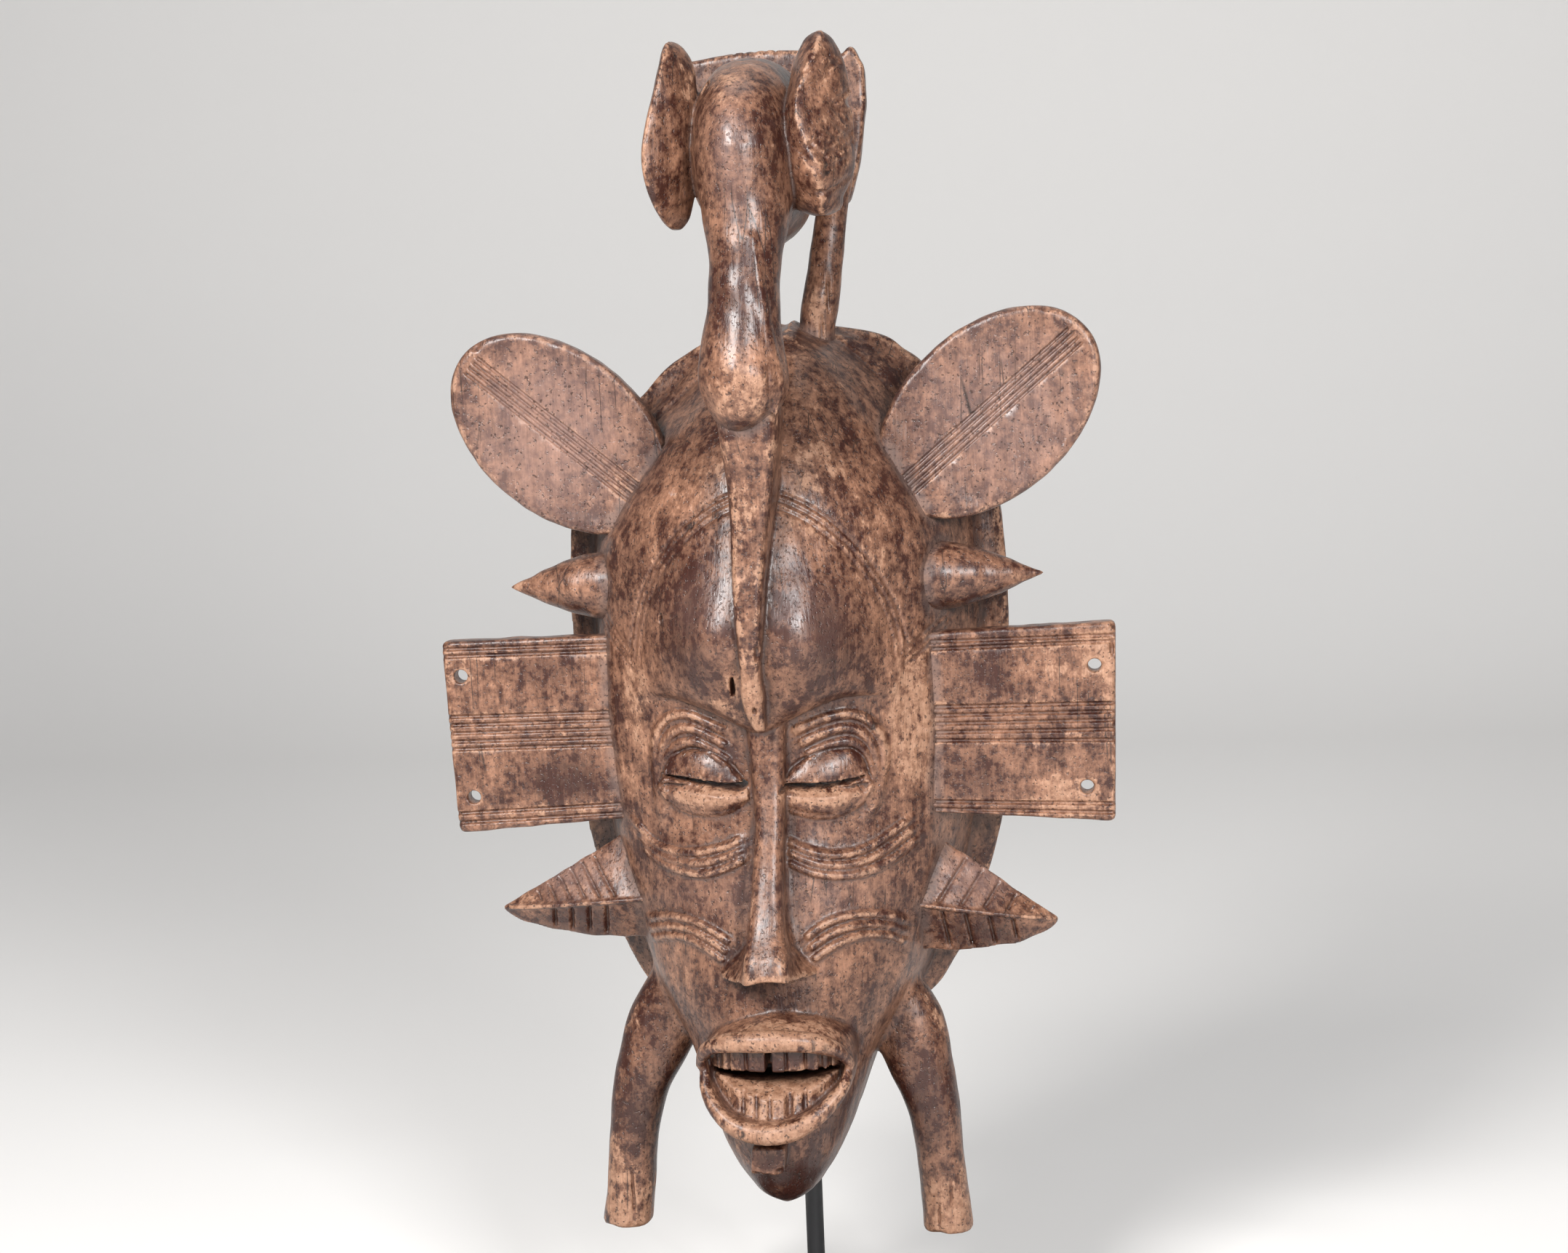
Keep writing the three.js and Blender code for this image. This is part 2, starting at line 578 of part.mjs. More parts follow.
// A thick almond-shaped wing that stands upright, with a ridge to the front and to the back.
function birdWing(side) {
  const { x, splay, halfWidth, levels } = side > 0 ? wings.right : wings.left;
  const rings = levels.map(([z, share]) => (
    { z, x: 0, y: 0, rx: halfWidth * share, ry: wing.halfDepth * share }
  ));
  return column(rings, 10, 8, wing.corners).rotate([0, 0, -side * splay]).translate([x, wing.y, 0]);
}


// The fan of the tail, with a small horn at each upper corner.
function birdTail() {
  const { top, bottom, crown, belly, back, thickness, bevel } = tail;
  const middle = (top + bottom) / 2;
  const shape = new THREE.Shape();
  shape.moveTo(-tailWidth.bottom, bottom);
  shape.lineTo(tailWidth.bottom, bottom);
  shape.quadraticCurveTo(tailWidth.top + belly, middle, tailWidth.top, top);
  shape.lineTo(tailWidth.hornTip, top + tailWidth.hornRise);
  shape.lineTo(tailWidth.hornFoot, top);
  shape.quadraticCurveTo(0, top + crown, -tailWidth.hornFoot, top);
  shape.lineTo(-tailWidth.hornTip, top + tailWidth.hornRise);
  shape.lineTo(-tailWidth.top, top);
  shape.quadraticCurveTo(-tailWidth.top - belly, middle, -tailWidth.bottom, bottom);
  return plate(shape, back - thickness, back, bevel, 4).translate([tail.x, 0, 0]);
}

function birdLegBar(side) {
  const { midX, y, bottom, top, halfBottom, halfTop, radius } = birdLeg;
  const foot = new THREE.Vector3(midX + side * halfBottom, y, bottom);
  return bar([foot, new THREE.Vector3(midX + side * halfTop, y, top)], radius, 8, 1);
}

function hornbill() {
  return joined([
    ellipsoid(birdBody, 12, 9),
    column(neckLevels, 10, 12),
    column(beakLevels, 8, 8, beakCorners),
    birdTail(),
    ...[-1, 1].flatMap((side) => [birdWing(side), birdLegBar(side)]),
  ]);
}

function foreheadLobe(side) {
  const { x, y, z, rx, ry, rz } = lobe;
  const behind = box(-2 * rx, 2 * rx, y, y + ry + 1, z - rz, z + rz);
  return ellipsoid({ ...lobe, x: side * x }, 14, 8).subtract(behind);
}

function carvedMask() {
  const sides = [-1, 1].flatMap((side) => [
    earPlate(side), sideSpike(side), sidePanel(side), sideLeaf(side), foreheadLobe(side),
  ]);
  const legs = [column(legLevels.left, 10, 7), column(legLevels.right, 10, 7)];
  const reliefs = [...eyes(), ...scars(), hairline(), nose(), mouth(), ellipsoid(chinKnob, 8, 5)];
  const whole = joined([headBlock(), ...sides, ...legs, ...reliefs, hornbill()]);
  return cutBy(whole, [hollowBlock(), ...eyeSlits(), mouthOpening()]);
}

// The rod rises behind the mask and bends forward into the dome, where a cross bar carries it.
function standRod() {
  const at = (x, y, z) => new THREE.Vector3(rod.x + x, y, z);
  const round = (points, steps = 1) => bar(points, rod.radius, rod.sides, steps);
  const bend = [at(0, rod.y, rod.bend - 2), at(0, rod.y, rod.bend + 2), at(0, arm.y / 2, arm.z - 4)];
  return joined([
    round([at(0, rod.y, rod.bottom), at(0, rod.y, rod.bend)]),
    round([...bend, at(0, arm.y, arm.z)], 8),
    round([at(-arm.barHalf, arm.y, arm.z), at(arm.barHalf, arm.y, arm.z)]),
    round([at(0, rod.y, rod.restZ), at(0, contactGap, rod.restZ)]),
  ]);
}

function standFoot() {
  const { width, depth, height, corner, collarRadius, collarTop } = foot;
  const [x, y] = [width / 2 - corner, depth / 2 - corner];
  const outline = new THREE.Shape();
  outline.moveTo(-x, -y - corner);
  outline.lineTo(x, -y - corner);
  outline.absarc(x, -y, corner, -Math.PI / 2, 0);
  outline.absarc(x, y, corner, 0, Math.PI / 2);
  outline.absarc(-x, y, corner, Math.PI / 2, Math.PI);
  outline.absarc(-x, -y, corner, Math.PI, 1.5 * Math.PI);
  const slab = new THREE.ExtrudeGeometry(outline, { depth: height, bevelEnabled: false, curveSegments: 4 });
  const upright = (radius, low, high) => {
    const geometry = new THREE.CylinderGeometry(radius, radius, high - low, 16);
    geometry.rotateX(Math.PI / 2);
    geometry.translate(rod.x, backPlane + rod.y, (low + high) / 2);
    return solidOf(geometry);
  };
  return solidOf(slab)
    .add(upright(collarRadius, height - 1, collarTop))
    .subtract(upright(rod.radius + contactGap, rod.bottom - contactGap, collarTop + 1));
}

const wood = new THREE.MeshStandardMaterial({ color: 0x6b4430, roughness: 0.5, metalness: 0 });
const blackSteel = new THREE.MeshStandardMaterial({ color: 0x131314, roughness: 0.55, metalness: 0.4 });

function piece(name, solid, material, y = 0) {
  const mesh = new THREE.Mesh(geometryOf(solid), material);
  mesh.name = name;
  mesh.position.y = y;
  return mesh;
}

const part = new THREE.Group();
part.add(piece("mask", carvedMask(), wood, backPlane));
part.add(piece("stand_rod", standRod(), blackSteel, backPlane));
part.add(piece("stand_foot", standFoot(), blackSteel));

export default part;
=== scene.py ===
import math

import bmesh
import bpy
import numpy as np
from mathutils import Matrix, Vector, kdtree


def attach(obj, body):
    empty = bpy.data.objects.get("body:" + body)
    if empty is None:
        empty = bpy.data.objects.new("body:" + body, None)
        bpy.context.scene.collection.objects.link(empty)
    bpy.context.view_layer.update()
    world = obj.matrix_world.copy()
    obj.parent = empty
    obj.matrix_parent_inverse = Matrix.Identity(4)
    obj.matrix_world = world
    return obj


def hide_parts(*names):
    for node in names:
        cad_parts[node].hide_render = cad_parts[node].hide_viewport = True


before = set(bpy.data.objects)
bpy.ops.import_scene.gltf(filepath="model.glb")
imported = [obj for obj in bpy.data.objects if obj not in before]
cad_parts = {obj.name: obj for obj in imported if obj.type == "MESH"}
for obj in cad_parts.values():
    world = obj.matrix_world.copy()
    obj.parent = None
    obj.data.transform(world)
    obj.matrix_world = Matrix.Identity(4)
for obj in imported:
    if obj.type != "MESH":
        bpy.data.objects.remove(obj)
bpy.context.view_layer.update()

# The wood is worked out in millimetres, from the mask's back plane (y = 0) and from the floor (z = 0).
backPlane = 30
coarse = 1.0


# A smooth value between the rows of a table of [place, value].
def profile(table, at):
    rows = np.array(table, float)
    places, values = rows[:, 0], rows[:, 1]
    straight = (values[-1] - values[0]) / (places[-1] - places[0])
    slopes = np.gradient(values, places) if len(places) > 2 else np.full(2, straight)
    at = np.clip(at, places[0], places[-1])
    i = np.clip(np.searchsorted(places, at) - 1, 0, len(places) - 2)
    span = places[i + 1] - places[i]
    t = (at - places[i]) / span
    ease = t * t * (3 - 2 * t)
    leave = slopes[i] * span * t * (1 - t) ** 2
    arrive = slopes[i + 1] * span * t * t * (t - 1)
    return values[i] * (1 - ease) + values[i + 1] * ease + leave + arrive


def smoothMin(a, b, radius):
    h = np.clip(0.5 + 0.5 * (b - a) / radius, 0, 1)
    return b + (a - b) * h - radius * h * (1 - h)


def smoothMax(a, b, radius):
    return -smoothMin(-a, -b, radius)


def smoothStep(low, high, value):
    t = np.clip((value - low) / (high - low), 0, 1)
    return t * t * (3 - 2 * t)


# Grid places from a list of [start, step, end] stretches.
def axisPoints(stops):
    places = []
    for start, step, end in stops:
        places.append(np.arange(start, end - 0.2 * step, step * coarse))
    places.append([stops[-1][2]])
    return np.concatenate(places).astype(np.float32)


def stretch(places, low, high):
    return slice(max(int(np.searchsorted(places, low)) - 1, 0), int(np.searchsorted(places, high)) + 1)


# A box of grid places that one piece is worked out in, with its distances, negative inside the wood.
class Block:
    def __init__(self, *stops):
        self.axes = [axisPoints(stretches) for stretches in stops]
        self.x, self.y, self.z = self.axes[0][:, None, None], self.axes[1][None, :, None], self.axes[2][None, None, :]
        self.faceX, self.faceZ = self.axes[0][:, None], self.axes[2][None, :]
        self.faceShape = (len(self.axes[0]), len(self.axes[2]))
        self.field = np.full([len(places) for places in self.axes], 30, np.float32)

    def window(self, low, high, margin=4):
        spans = tuple(stretch(places, a - margin, b + margin) for places, a, b in zip(self.axes, low, high))
        return spans, self.x[spans[0]], self.y[:, spans[1]], self.z[:, :, spans[2]]

    def around(self, centre, radii, margin=4):
        low, high = ([c + side * r for c, r in zip(centre, radii)] for side in (-1, 1))
        return self.window(low, high, margin)

    def add(self, spans, shape, radius):
        self.field[spans] = smoothMin(self.field[spans], shape.astype(np.float32), radius)

    def cut(self, spans, shape, radius):
        self.field[spans] = smoothMax(self.field[spans], -shape.astype(np.float32), radius)


everywhere = (slice(None),) * 3


# How much longer the sloping way is than the straight one, for turning heights into distances.
def steepness(values, *axes):
    grads = np.gradient(values, *axes)
    grads = grads if isinstance(grads, (list, tuple)) else [grads]
    return np.sqrt(1 + sum(g * g for g in grads))


# Distance to an upright tube with an elliptical or squarish section.
def radial(dx, dy, rx, ry, corners=2.0):
    away = np.hypot(dx, dy)
    q = ((np.abs(dx) / rx) ** corners + (np.abs(dy) / ry) ** corners) ** (1 / corners)
    q = np.maximum(q, 1e-3)
    return away * (1 - 1 / q)


# An upright form from rows of [height, x, y, half width, half depth].
def addColumn(block, levels, radius, corners=2.0, endRound=1.5):
    rows = np.array(levels, float)
    low = [(rows[:, k] - rows[:, k + 2]).min() for k in (1, 2)] + [rows[0, 0]]
    high = [(rows[:, k] + rows[:, k + 2]).max() for k in (1, 2)] + [rows[-1, 0]]
    spans, x, y, z = block.window(low, high)
    cx, cy, rx, ry = (profile(rows[:, [0, k]], z) for k in (1, 2, 3, 4))
    shape = radial(x - cx, y - cy, np.maximum(rx, 0.3), np.maximum(ry, 0.3), corners)
    ends = np.maximum(rows[0, 0] - z, z - rows[-1, 0])
    block.add(spans, smoothMax(shape, ends + 0 * shape, endRound), radius)


def ellipsoid(x, y, z, centre, radii):
    dx, dy, dz = x - centre[0], y - centre[1], z - centre[2]
    away = np.sqrt(dx * dx + dy * dy + dz * dz)
    q = np.sqrt((dx / radii[0]) ** 2 + (dy / radii[1]) ** 2 + (dz / radii[2]) ** 2)
    return away * (1 - 1 / np.maximum(q, 1e-3))


# Small chips and worm holes, as rows of [centre, radii].
def cutChips(block, chips, radius=0.6):
    for centre, radii in chips:
        spans, *places = block.around(centre, radii, 1.5)
        if all(span.stop - span.start > 1 for span in spans):
            block.cut(spans, ellipsoid(*places, centre, radii), radius)


# A smooth run of places through the given ones.
def curvePoints(points, count=60):
    rows = np.array(points, float)
    reach = np.concatenate([[0], np.cumsum(np.linalg.norm(np.diff(rows, axis=0), axis=1))])
    at = np.linspace(0, reach[-1], count)
    return np.stack([profile(np.stack([reach, rows[:, k]], 1), at) for k in range(rows.shape[1])], 1)


# A round bar along a curve of [x, y, z, radius] rows.
def addTube(block, points, radius):
    rows = curvePoints(points, 24)
    low = (rows[:, :3] - rows[:, 3:]).min(axis=0)
    high = (rows[:, :3] + rows[:, 3:]).max(axis=0)
    spans, x, y, z = block.window(low, high, 2)
    best = np.full(np.broadcast_shapes(x.shape, y.shape, z.shape), 20, np.float32)
    for a, b in zip(rows[:-1], rows[1:]):
        d = b[:3] - a[:3]
        t = np.clip(((x - a[0]) * d[0] + (y - a[1]) * d[1] + (z - a[2]) * d[2]) / (d @ d), 0, 1)
        away = np.sqrt((x - a[0] - t * d[0]) ** 2 + (y - a[1] - t * d[1]) ** 2 + (z - a[2] - t * d[2]) ** 2)
        best = np.minimum(best, away - a[3] - (b[3] - a[3]) * t)
    block.add(spans, best, radius)


# Distance on the face to a curve, and how far along it each place is, worked out near the curve only.
def distanceToCurve(block, points, reach):
    rows = curvePoints(points)
    distance = np.full(block.faceShape, 99.0, np.float32)
    along = np.zeros_like(distance)
    spanX = stretch(block.axes[0], rows[:, 0].min() - reach, rows[:, 0].max() + reach)
    spanZ = stretch(block.axes[2], rows[:, 1].min() - reach, rows[:, 1].max() + reach)
    x, z = block.faceX[spanX], block.faceZ[:, spanZ]
    near, share = distance[spanX, spanZ], along[spanX, spanZ]
    for i, (a, b) in enumerate(zip(rows[:-1], rows[1:])):
        d = b - a
        t = np.clip(((x - a[0]) * d[0] + (z - a[1]) * d[1]) / (d @ d), 0, 1)
        away = np.hypot(x - a[0] - t * d[0], z - a[1] - t * d[1])
        closer = away < near
        near[closer] = away[closer]
        share[closer] = ((i + t) / (len(rows) - 1))[closer]
    return distance, along


def ridge(distance, rise, wide):
    return rise * np.clip(1 - (distance / wide) ** 2, 0, 1) ** 0.8


def groove(distance, deep, wide):
    return deep * np.clip(1 - (distance / wide) ** 2, 0, 1)


# A gentle unevenness made of a few crossing waves, about -1 to 1.
def waves(block, seed, sizes, count=4):
    chance = np.random.default_rng(seed)
    total = np.zeros(block.field.shape, np.float32)
    for size in sizes:
        for _ in range(count):
            way = chance.normal(size=3)
            way = (way / np.linalg.norm(way) * 2 * math.pi / (size * chance.uniform(0.75, 1.3))).astype(np.float32)
            shift = np.float32(chance.uniform(0, 2 * math.pi))
            total += np.sin(block.x * way[0] + block.y * way[1] + block.z * way[2] * np.float32(0.7) + shift)
    return total / (len(sizes) * count) * 1.6


# Head: the ground that everything else is carved on or stands out from.
headShape = {
    "grid": [
        [[-78, 1.3, -56], [-56, 0.6, 56], [56, 1.3, 80]],
        [[-100, 0.75, -36], [-36, 1.3, 4]],
        [[48, 1.2, 82], [82, 0.6, 302], [302, 1.0, 354]],
    ],
    "halfWidths": [
        [63, -8], [69, 0], [72, 7], [78, 13], [87, 19], [100, 24], [121, 31.5], [137, 40], [153, 45], [175, 50],
        [200, 53], [225, 54], [255, 53], [270, 53], [282, 52], [292, 47.5], [301, 42], [312, 35.5], [323, 28.5],
        [335, 19], [345, 7.5], [349, 0], [356, -12],
    ],
    "edgeDepths": [
        [69, -57], [78, -54], [100, -49], [121, -45], [140, -41], [175, -39], [225, -40], [270, -41],
        [300, -40], [320, -36], [335, -28], [345, -19], [349, -14],
    ],
    "middleDepths": [
        [69, -57], [75, -66], [85, -73], [97, -76], [110, -76], [125, -74], [140, -72], [155, -70],
        [175, -67], [195, -64], [215, -63.5], [235, -66], [250, -70], [275, -73], [296, -71], [315, -62],
        [332, -47], [343, -32], [349, -18],
    ],
    "middles": [[69, -0.4], [100, -1.2], [150, 0], [285, 0], [322, 3.5], [335, 6], [349, 7]],
    "rimLeft": [
        [69, 0], [87, 20], [104, 27], [117, 33], [127, 46], [139, 54.5], [155, 60.5], [169, 64.5], [183, 67.5],
        [205, 69], [240, 70], [272, 70], [295, 67], [312, 59.5], [327.6, 42.5], [338, 31], [345, 14.5], [349, -7],
        [356, -32],
    ],
    "rimRight": [
        [69, 0], [87, 18], [104, 25], [117, 31.5], [127, 45], [139, 53.7], [155, 61], [169, 65.5], [183, 69.5],
        [205, 72], [240, 73.5], [272, 73.5], [295, 70.5], [312, 64], [327, 54], [338, 43.5], [345, 30], [349, 7],
        [356, -18],
    ],
    "roundness": 2.3, "edgeRadius": 5.0, "flange": 9.0,
}
hollowShape = {
    "centre": 255, "up": 77, "down": 163, "halfWidth": 57.5, "wall": 14, "corners": 2.5, "middle": 212,
    "halfHeight": 120,
    "clearance": 2.5,
}


def groundDepth(block):
    half = np.maximum(profile(headShape["halfWidths"], block.faceZ), 1.5)
    across = np.clip(np.abs(block.faceX - profile(headShape["middles"], block.faceZ)) / half, 0, 1.3)
    edge = profile(headShape["edgeDepths"], block.faceZ)
    middle = profile(headShape["middleDepths"], block.faceZ)
    return edge + (middle - edge) * (1 - across ** headShape["roundness"])


# Signed distance to the head, with the carved front given as a height field.
def headField(block, front):
    xs, ys, zs = block.axes
    y, z = ys[:, None], zs[None, :]
    half = profile(headShape["halfWidths"], z)
    edge = profile(headShape["edgeDepths"], z)
    share = y / edge
    walls = []
    for side, key in ((-1, "rimLeft"), (1, "rimRight")):
        corner = side * profile(headShape["middles"], z) + half
        rim = np.maximum(profile(headShape[key], z), corner + 0.01)
        inner = rim - np.minimum(headShape["flange"], (rim - corner) * 0.6)
        wall = corner + (inner - corner) * 0.12
        reach = rim + (inner - rim) * smoothStep(0.15, 0.3, share)
        reach += (wall - inner) * np.clip((share - 0.28) / 0.62, 0, 1)
        reach += (corner - wall) * np.clip((share - 0.9) / 0.1, 0, 1)
        slope = steepness(reach, ys, zs)
        walls.append(((side * block.x - reach[None]) / slope[None]).astype(np.float32))
    sides = np.maximum(*walls)
    facing = (front[:, None, :] - block.y) / np.minimum(steepness(front, xs, zs), 6)[:, None, :]
    field = smoothMax(sides, facing.astype(np.float32), headShape["edgeRadius"])
    under = np.clip((82 - zs) / 13, 0, 1.2)
    back = profile(headShape["edgeDepths"], zs) * under ** 1.5
    behind = (block.y - back) / steepness(back, zs)
    return smoothMax(field, behind.astype(np.float32), 1.2)


# Distance to the hollow behind the face, grown by a margin for the pieces that end inside the wall.
def cavityField(x, y, z, margin=0):
    shape = hollowShape
    t = (z - shape["centre"]) / np.where(z > shape["centre"], shape["up"], shape["down"])
    half = shape["halfWidth"] * np.clip(1 - np.abs(t) ** 2, 0.0001, 1) ** 0.5
    deep = -(profile(headShape["middleDepths"], z) + shape["wall"])
    deep = deep * np.clip(1 - np.abs(t) ** 3, 0.0001, 1) ** (1 / 3)
    cavity = radial(x, np.minimum(y, 0), np.maximum(half, 0.5), np.maximum(deep, 0.5), shape["corners"])
    return np.maximum(cavity, np.abs(z - shape["middle"]) - shape["halfHeight"] + 0 * cavity) - margin


# Ends a side piece inside the head's wall, so that it keeps clear of the hollow.
def clearHollow(block, x, z):
    hollow = cavityField(x, block.y, z, hollowShape["clearance"])
    block.field = np.maximum(block.field, -hollow).astype(np.float32)


# Forehead: a smooth rise inside the grooved arch, with two lobes that end low down in a heart-shaped edge.
foreheadShape = {
    "rise": 8.5, "fall": 1.1, "lobeX": 14.5, "lobeZ": 251, "lobeWide": 13, "lobeTall": 18, "lobeRise": 6.6,
    "edgeRadius": 6.5,
    "lowEdge": [
        [-46, 227], [-38, 231.4], [-30, 233.4], [-20, 231.6], [-11, 227.6], [-1, 223.5], [7, 227.2], [16, 231.2],
        [26, 233.2], [34, 231.6], [42, 227],
    ],
}
archShape = {
    "halfWidth": 42.6, "rise": 52.5, "base": 246, "corners": 1.75, "scale": 44, "pitch": 1.9, "deep": 0.75,
    "wide": 0.72,
    "zigzags": [[[-43.2, 245], [-54.8, 258.5]], [[42.9, 244], [55.3, 252.5]]], "zigzagPitch": 2.5,
}
scarShape = {
    "brows": {
        "outer": [
            [
                [-34.8, 193.5], [-36.2, 198.5], [-36.7, 205.5], [-37.2, 213], [-37, 219], [-35, 224.5],
                [-31.2, 228.1],
                [-26.1, 229.1], [-19.5, 226.9], [-10.2, 222.2],
            ],
            [
                [7.1, 222.6], [12.9, 225.2], [19.7, 227.4], [26.3, 227.8], [30.2, 226.2], [33.5, 222.5],
                [35.9, 216.5],
                [35.2, 208.6], [33.9, 202.5], [31.9, 197.7], [28.4, 192.4],
            ],
        ],
        "inner": [
            [
                [-33.6, 198], [-34.3, 202], [-34.4, 207], [-33.8, 213.8], [-31, 217.4], [-27.4, 219.7],
                [-23.9, 220.4],
                [-17.8, 217.9], [-10.4, 212.6],
            ],
            [
                [11, 215], [16.9, 217.7], [21.5, 219], [25.4, 219.1], [28.4, 217.4], [30.7, 213.9], [32, 209],
                [31.9, 204.5], [30.2, 199],
            ],
        ],
        "rise": 1.7, "wide": 1.75,
    },
    "underEyes": {
        "outer": [
            [[-46.4, 193], [-38.9, 186.6], [-31.2, 184.8], [-23.6, 185.2], [-16.3, 186.9], [-7.4, 190.4]],
            [[4.2, 189.7], [9.1, 186.9], [15.7, 184.5], [23.5, 183.8], [31.2, 185.6], [37.8, 189.2], [44.4, 193.3]],
        ],
        "inner": [
            [[-43.5, 185.2], [-35.2, 180.3], [-27.6, 178.6], [-21.4, 178.7], [-14.1, 181.1], [-6.6, 185]],
            [[4.2, 183.3], [11.2, 179.8], [18.9, 177.7], [26.6, 177.3], [34.2, 179.1], [40.9, 182.7], [46.4, 187.5]],
        ],
        "rise": 1.8, "wide": 1.65,
    },
    "cheeks": {
        "outer": [
            [[-43.4, 160.8], [-34.8, 163.5], [-26.9, 163.4], [-19.5, 160.8], [-12, 156.6]],
            [[9.6, 158.2], [15.2, 162.2], [21.9, 164.4], [30.5, 164], [36.9, 161.8], [41.6, 157.6]],
        ],
        "inner": [
            [[-43.4, 153.6], [-35.2, 156.9], [-27.2, 157], [-20.9, 154.6], [-14.4, 150.6]],
            [[11.6, 151.6], [18.4, 155.6], [26, 157.6], [32.4, 157], [37.6, 154.6], [41.2, 150.4]],
        ],
        "rise": 1.8, "wide": 1.55,
    },
}
eyeShape = {
    "upper": [
        [[-35.4, 207], [-32.2, 214.7], [-27, 217.4], [-22.1, 218.1], [-17.4, 217.2], [-12.9, 214.4], [-7, 207.5]],
        [
            [3.6, 207], [8, 212.4], [11.9, 215], [16.9, 216.7], [22.5, 217.3], [26.2, 216.7], [29.1, 214.3],
            [31.6, 206],
        ],
    ],
    "slit": [
        [[-36, 207.1], [-27.7, 207.2], [-20.4, 206.6], [-13.3, 205.9], [-6.5, 205.8]],
        [[3.6, 206.1], [11.9, 205.4], [18.6, 205.3], [24.2, 205.5], [32, 206.2]],
    ],
    "slitHalf": [
        [[-35.4, 0.1], [-28, 0.9], [-20, 1.35], [-12, 1.5], [-8, 1.3], [-6.6, 0.4]],
        [[3.8, 0.8], [9, 1.4], [16, 1.4], [23, 1], [30.4, 0.1]],
    ],
    "lower": [
        [
            [-36, 205.4], [-34.9, 203.2], [-31.7, 200], [-26.8, 198], [-22, 197.3], [-17.2, 197.2], [-12.4, 198.5],
            [-6.6, 202.4],
        ],
        [
            [3.2, 203], [5.3, 199], [9.4, 197.2], [16.1, 195.7], [21.6, 196.2], [26.1, 197.9], [29.5, 200.1],
            [32, 204.6],
        ],
    ],
    "upperRise": 4.0, "lowerRise": 4.4, "ledge": 2.7, "slitBack": -36, "slitClimb": 0.25,
}


# Three raised lines side by side, low at their ends.
def threeScars(block, shape):
    relief = np.zeros(block.faceShape, np.float32)
    for outer, inner in zip(shape["outer"], shape["inner"]):
        first, last = curvePoints(outer), curvePoints(inner)
        for share in (0, 0.5, 1):
            distance, along = distanceToCurve(block, (first + (last - first) * share)[::3], 3)
            ends = smoothStep(0, 0.06, along) * smoothStep(0, 0.06, 1 - along)
            relief = np.maximum(relief, ridge(distance, shape["rise"], shape["wide"]) * (0.25 + 0.75 * ends))
    return relief


def eyeRelief(block):
    x, z = block.faceX, block.faceZ
    relief = np.zeros(block.faceShape, np.float32)
    for k in (0, 1):
        upper, slit, lower = (np.array(eyeShape[key][k]) for key in ("upper", "slit", "lower"))
        low, high = slit[0, 0], slit[-1, 0]
        within = (x > low) & (x < high)
        slitZ = profile(slit, x)
        topZ, lowZ = np.maximum(profile(upper, x), slitZ + 0.3), np.minimum(profile(lower, x), slitZ - 0.3)
        up = np.clip((z - slitZ) / (topZ - slitZ), 0, 1)
        across = np.clip(1 - ((x - (low + high) / 2) / ((high - low) / 2)) ** 2, 0, 1) ** 0.6
        lid = eyeShape["upperRise"] * (1 - up ** 2.2) ** 0.7 * (0.3 + 0.7 * across)
        lid = np.where(z > topZ, 0, lid)
        down = slitZ - z
        ledge = np.minimum(eyeShape["ledge"], 0.62 * (slitZ - lowZ))
        past = np.clip((down - ledge) / np.maximum(slitZ - lowZ - ledge, 0.2), 0, 1)
        cup = eyeShape["lowerRise"] * (0.3 + 0.7 * np.clip(down / ledge, 0, 1)) * (1 - past ** 2.2) ** 0.8
        cup = np.where(z < lowZ, 0, cup * (0.25 + 0.75 * across))
        relief = np.where(within, np.maximum(relief, np.where(z > slitZ, lid, cup)), relief)
        relief += ridge(distanceToCurve(block, lower, 2)[0], 0.9, 0.8)
        relief -= groove(distanceToCurve(block, upper, 2)[0], 0.8, 0.75)
    return relief


# The narrow openings of the eyes climb a little towards the back.
def cutSlits(block):
    for k in (0, 1):
        slit, half = np.array(eyeShape["slit"][k]), eyeShape["slitHalf"][k]
        low, high = half[0][0], half[-1][0]
        spans, x, y, z = block.window([low, -96, 202], [high, eyeShape["slitBack"], 216], 1)
        middle = profile(slit, x) + eyeShape["slitClimb"] * np.clip(y + 67, -3, 40)
        shape = np.abs(z - middle) - profile(half, x) + 0 * y
        shape = np.maximum(shape, np.maximum(low - x, x - high))
        block.cut(spans, np.maximum(shape, y - eyeShape["slitBack"]), 0.15)


def archReach(block):
    arch = archShape
    q = (np.abs(block.faceX) / arch["halfWidth"]) ** arch["corners"]
    q = q + (np.clip(block.faceZ - arch["base"], 0, 99) / arch["rise"]) ** arch["corners"]
    return q ** (1 / arch["corners"])


# The three fine grooves of the arch and the zigzags at its ends.
def incisedLines(block):
    arch = archShape
    away = (archReach(block) - 1) * arch["scale"]
    lines = np.zeros(block.faceShape, np.float32)
    for k in (-1, 0, 1):
        line = np.where(block.faceZ > arch["base"] - 1, np.abs(away - k * arch["pitch"] + 1), 9)
        lines = np.maximum(lines, groove(line, arch["deep"], arch["wide"]))
    for points in arch["zigzags"]:
        for k in (-1, 0, 1):
            moved = [[x, z + arch["zigzagPitch"] * k] for x, z in points]
            lines = np.maximum(lines, groove(distanceToCurve(block, moved, 2)[0], 0.9, 0.8))
    return lines


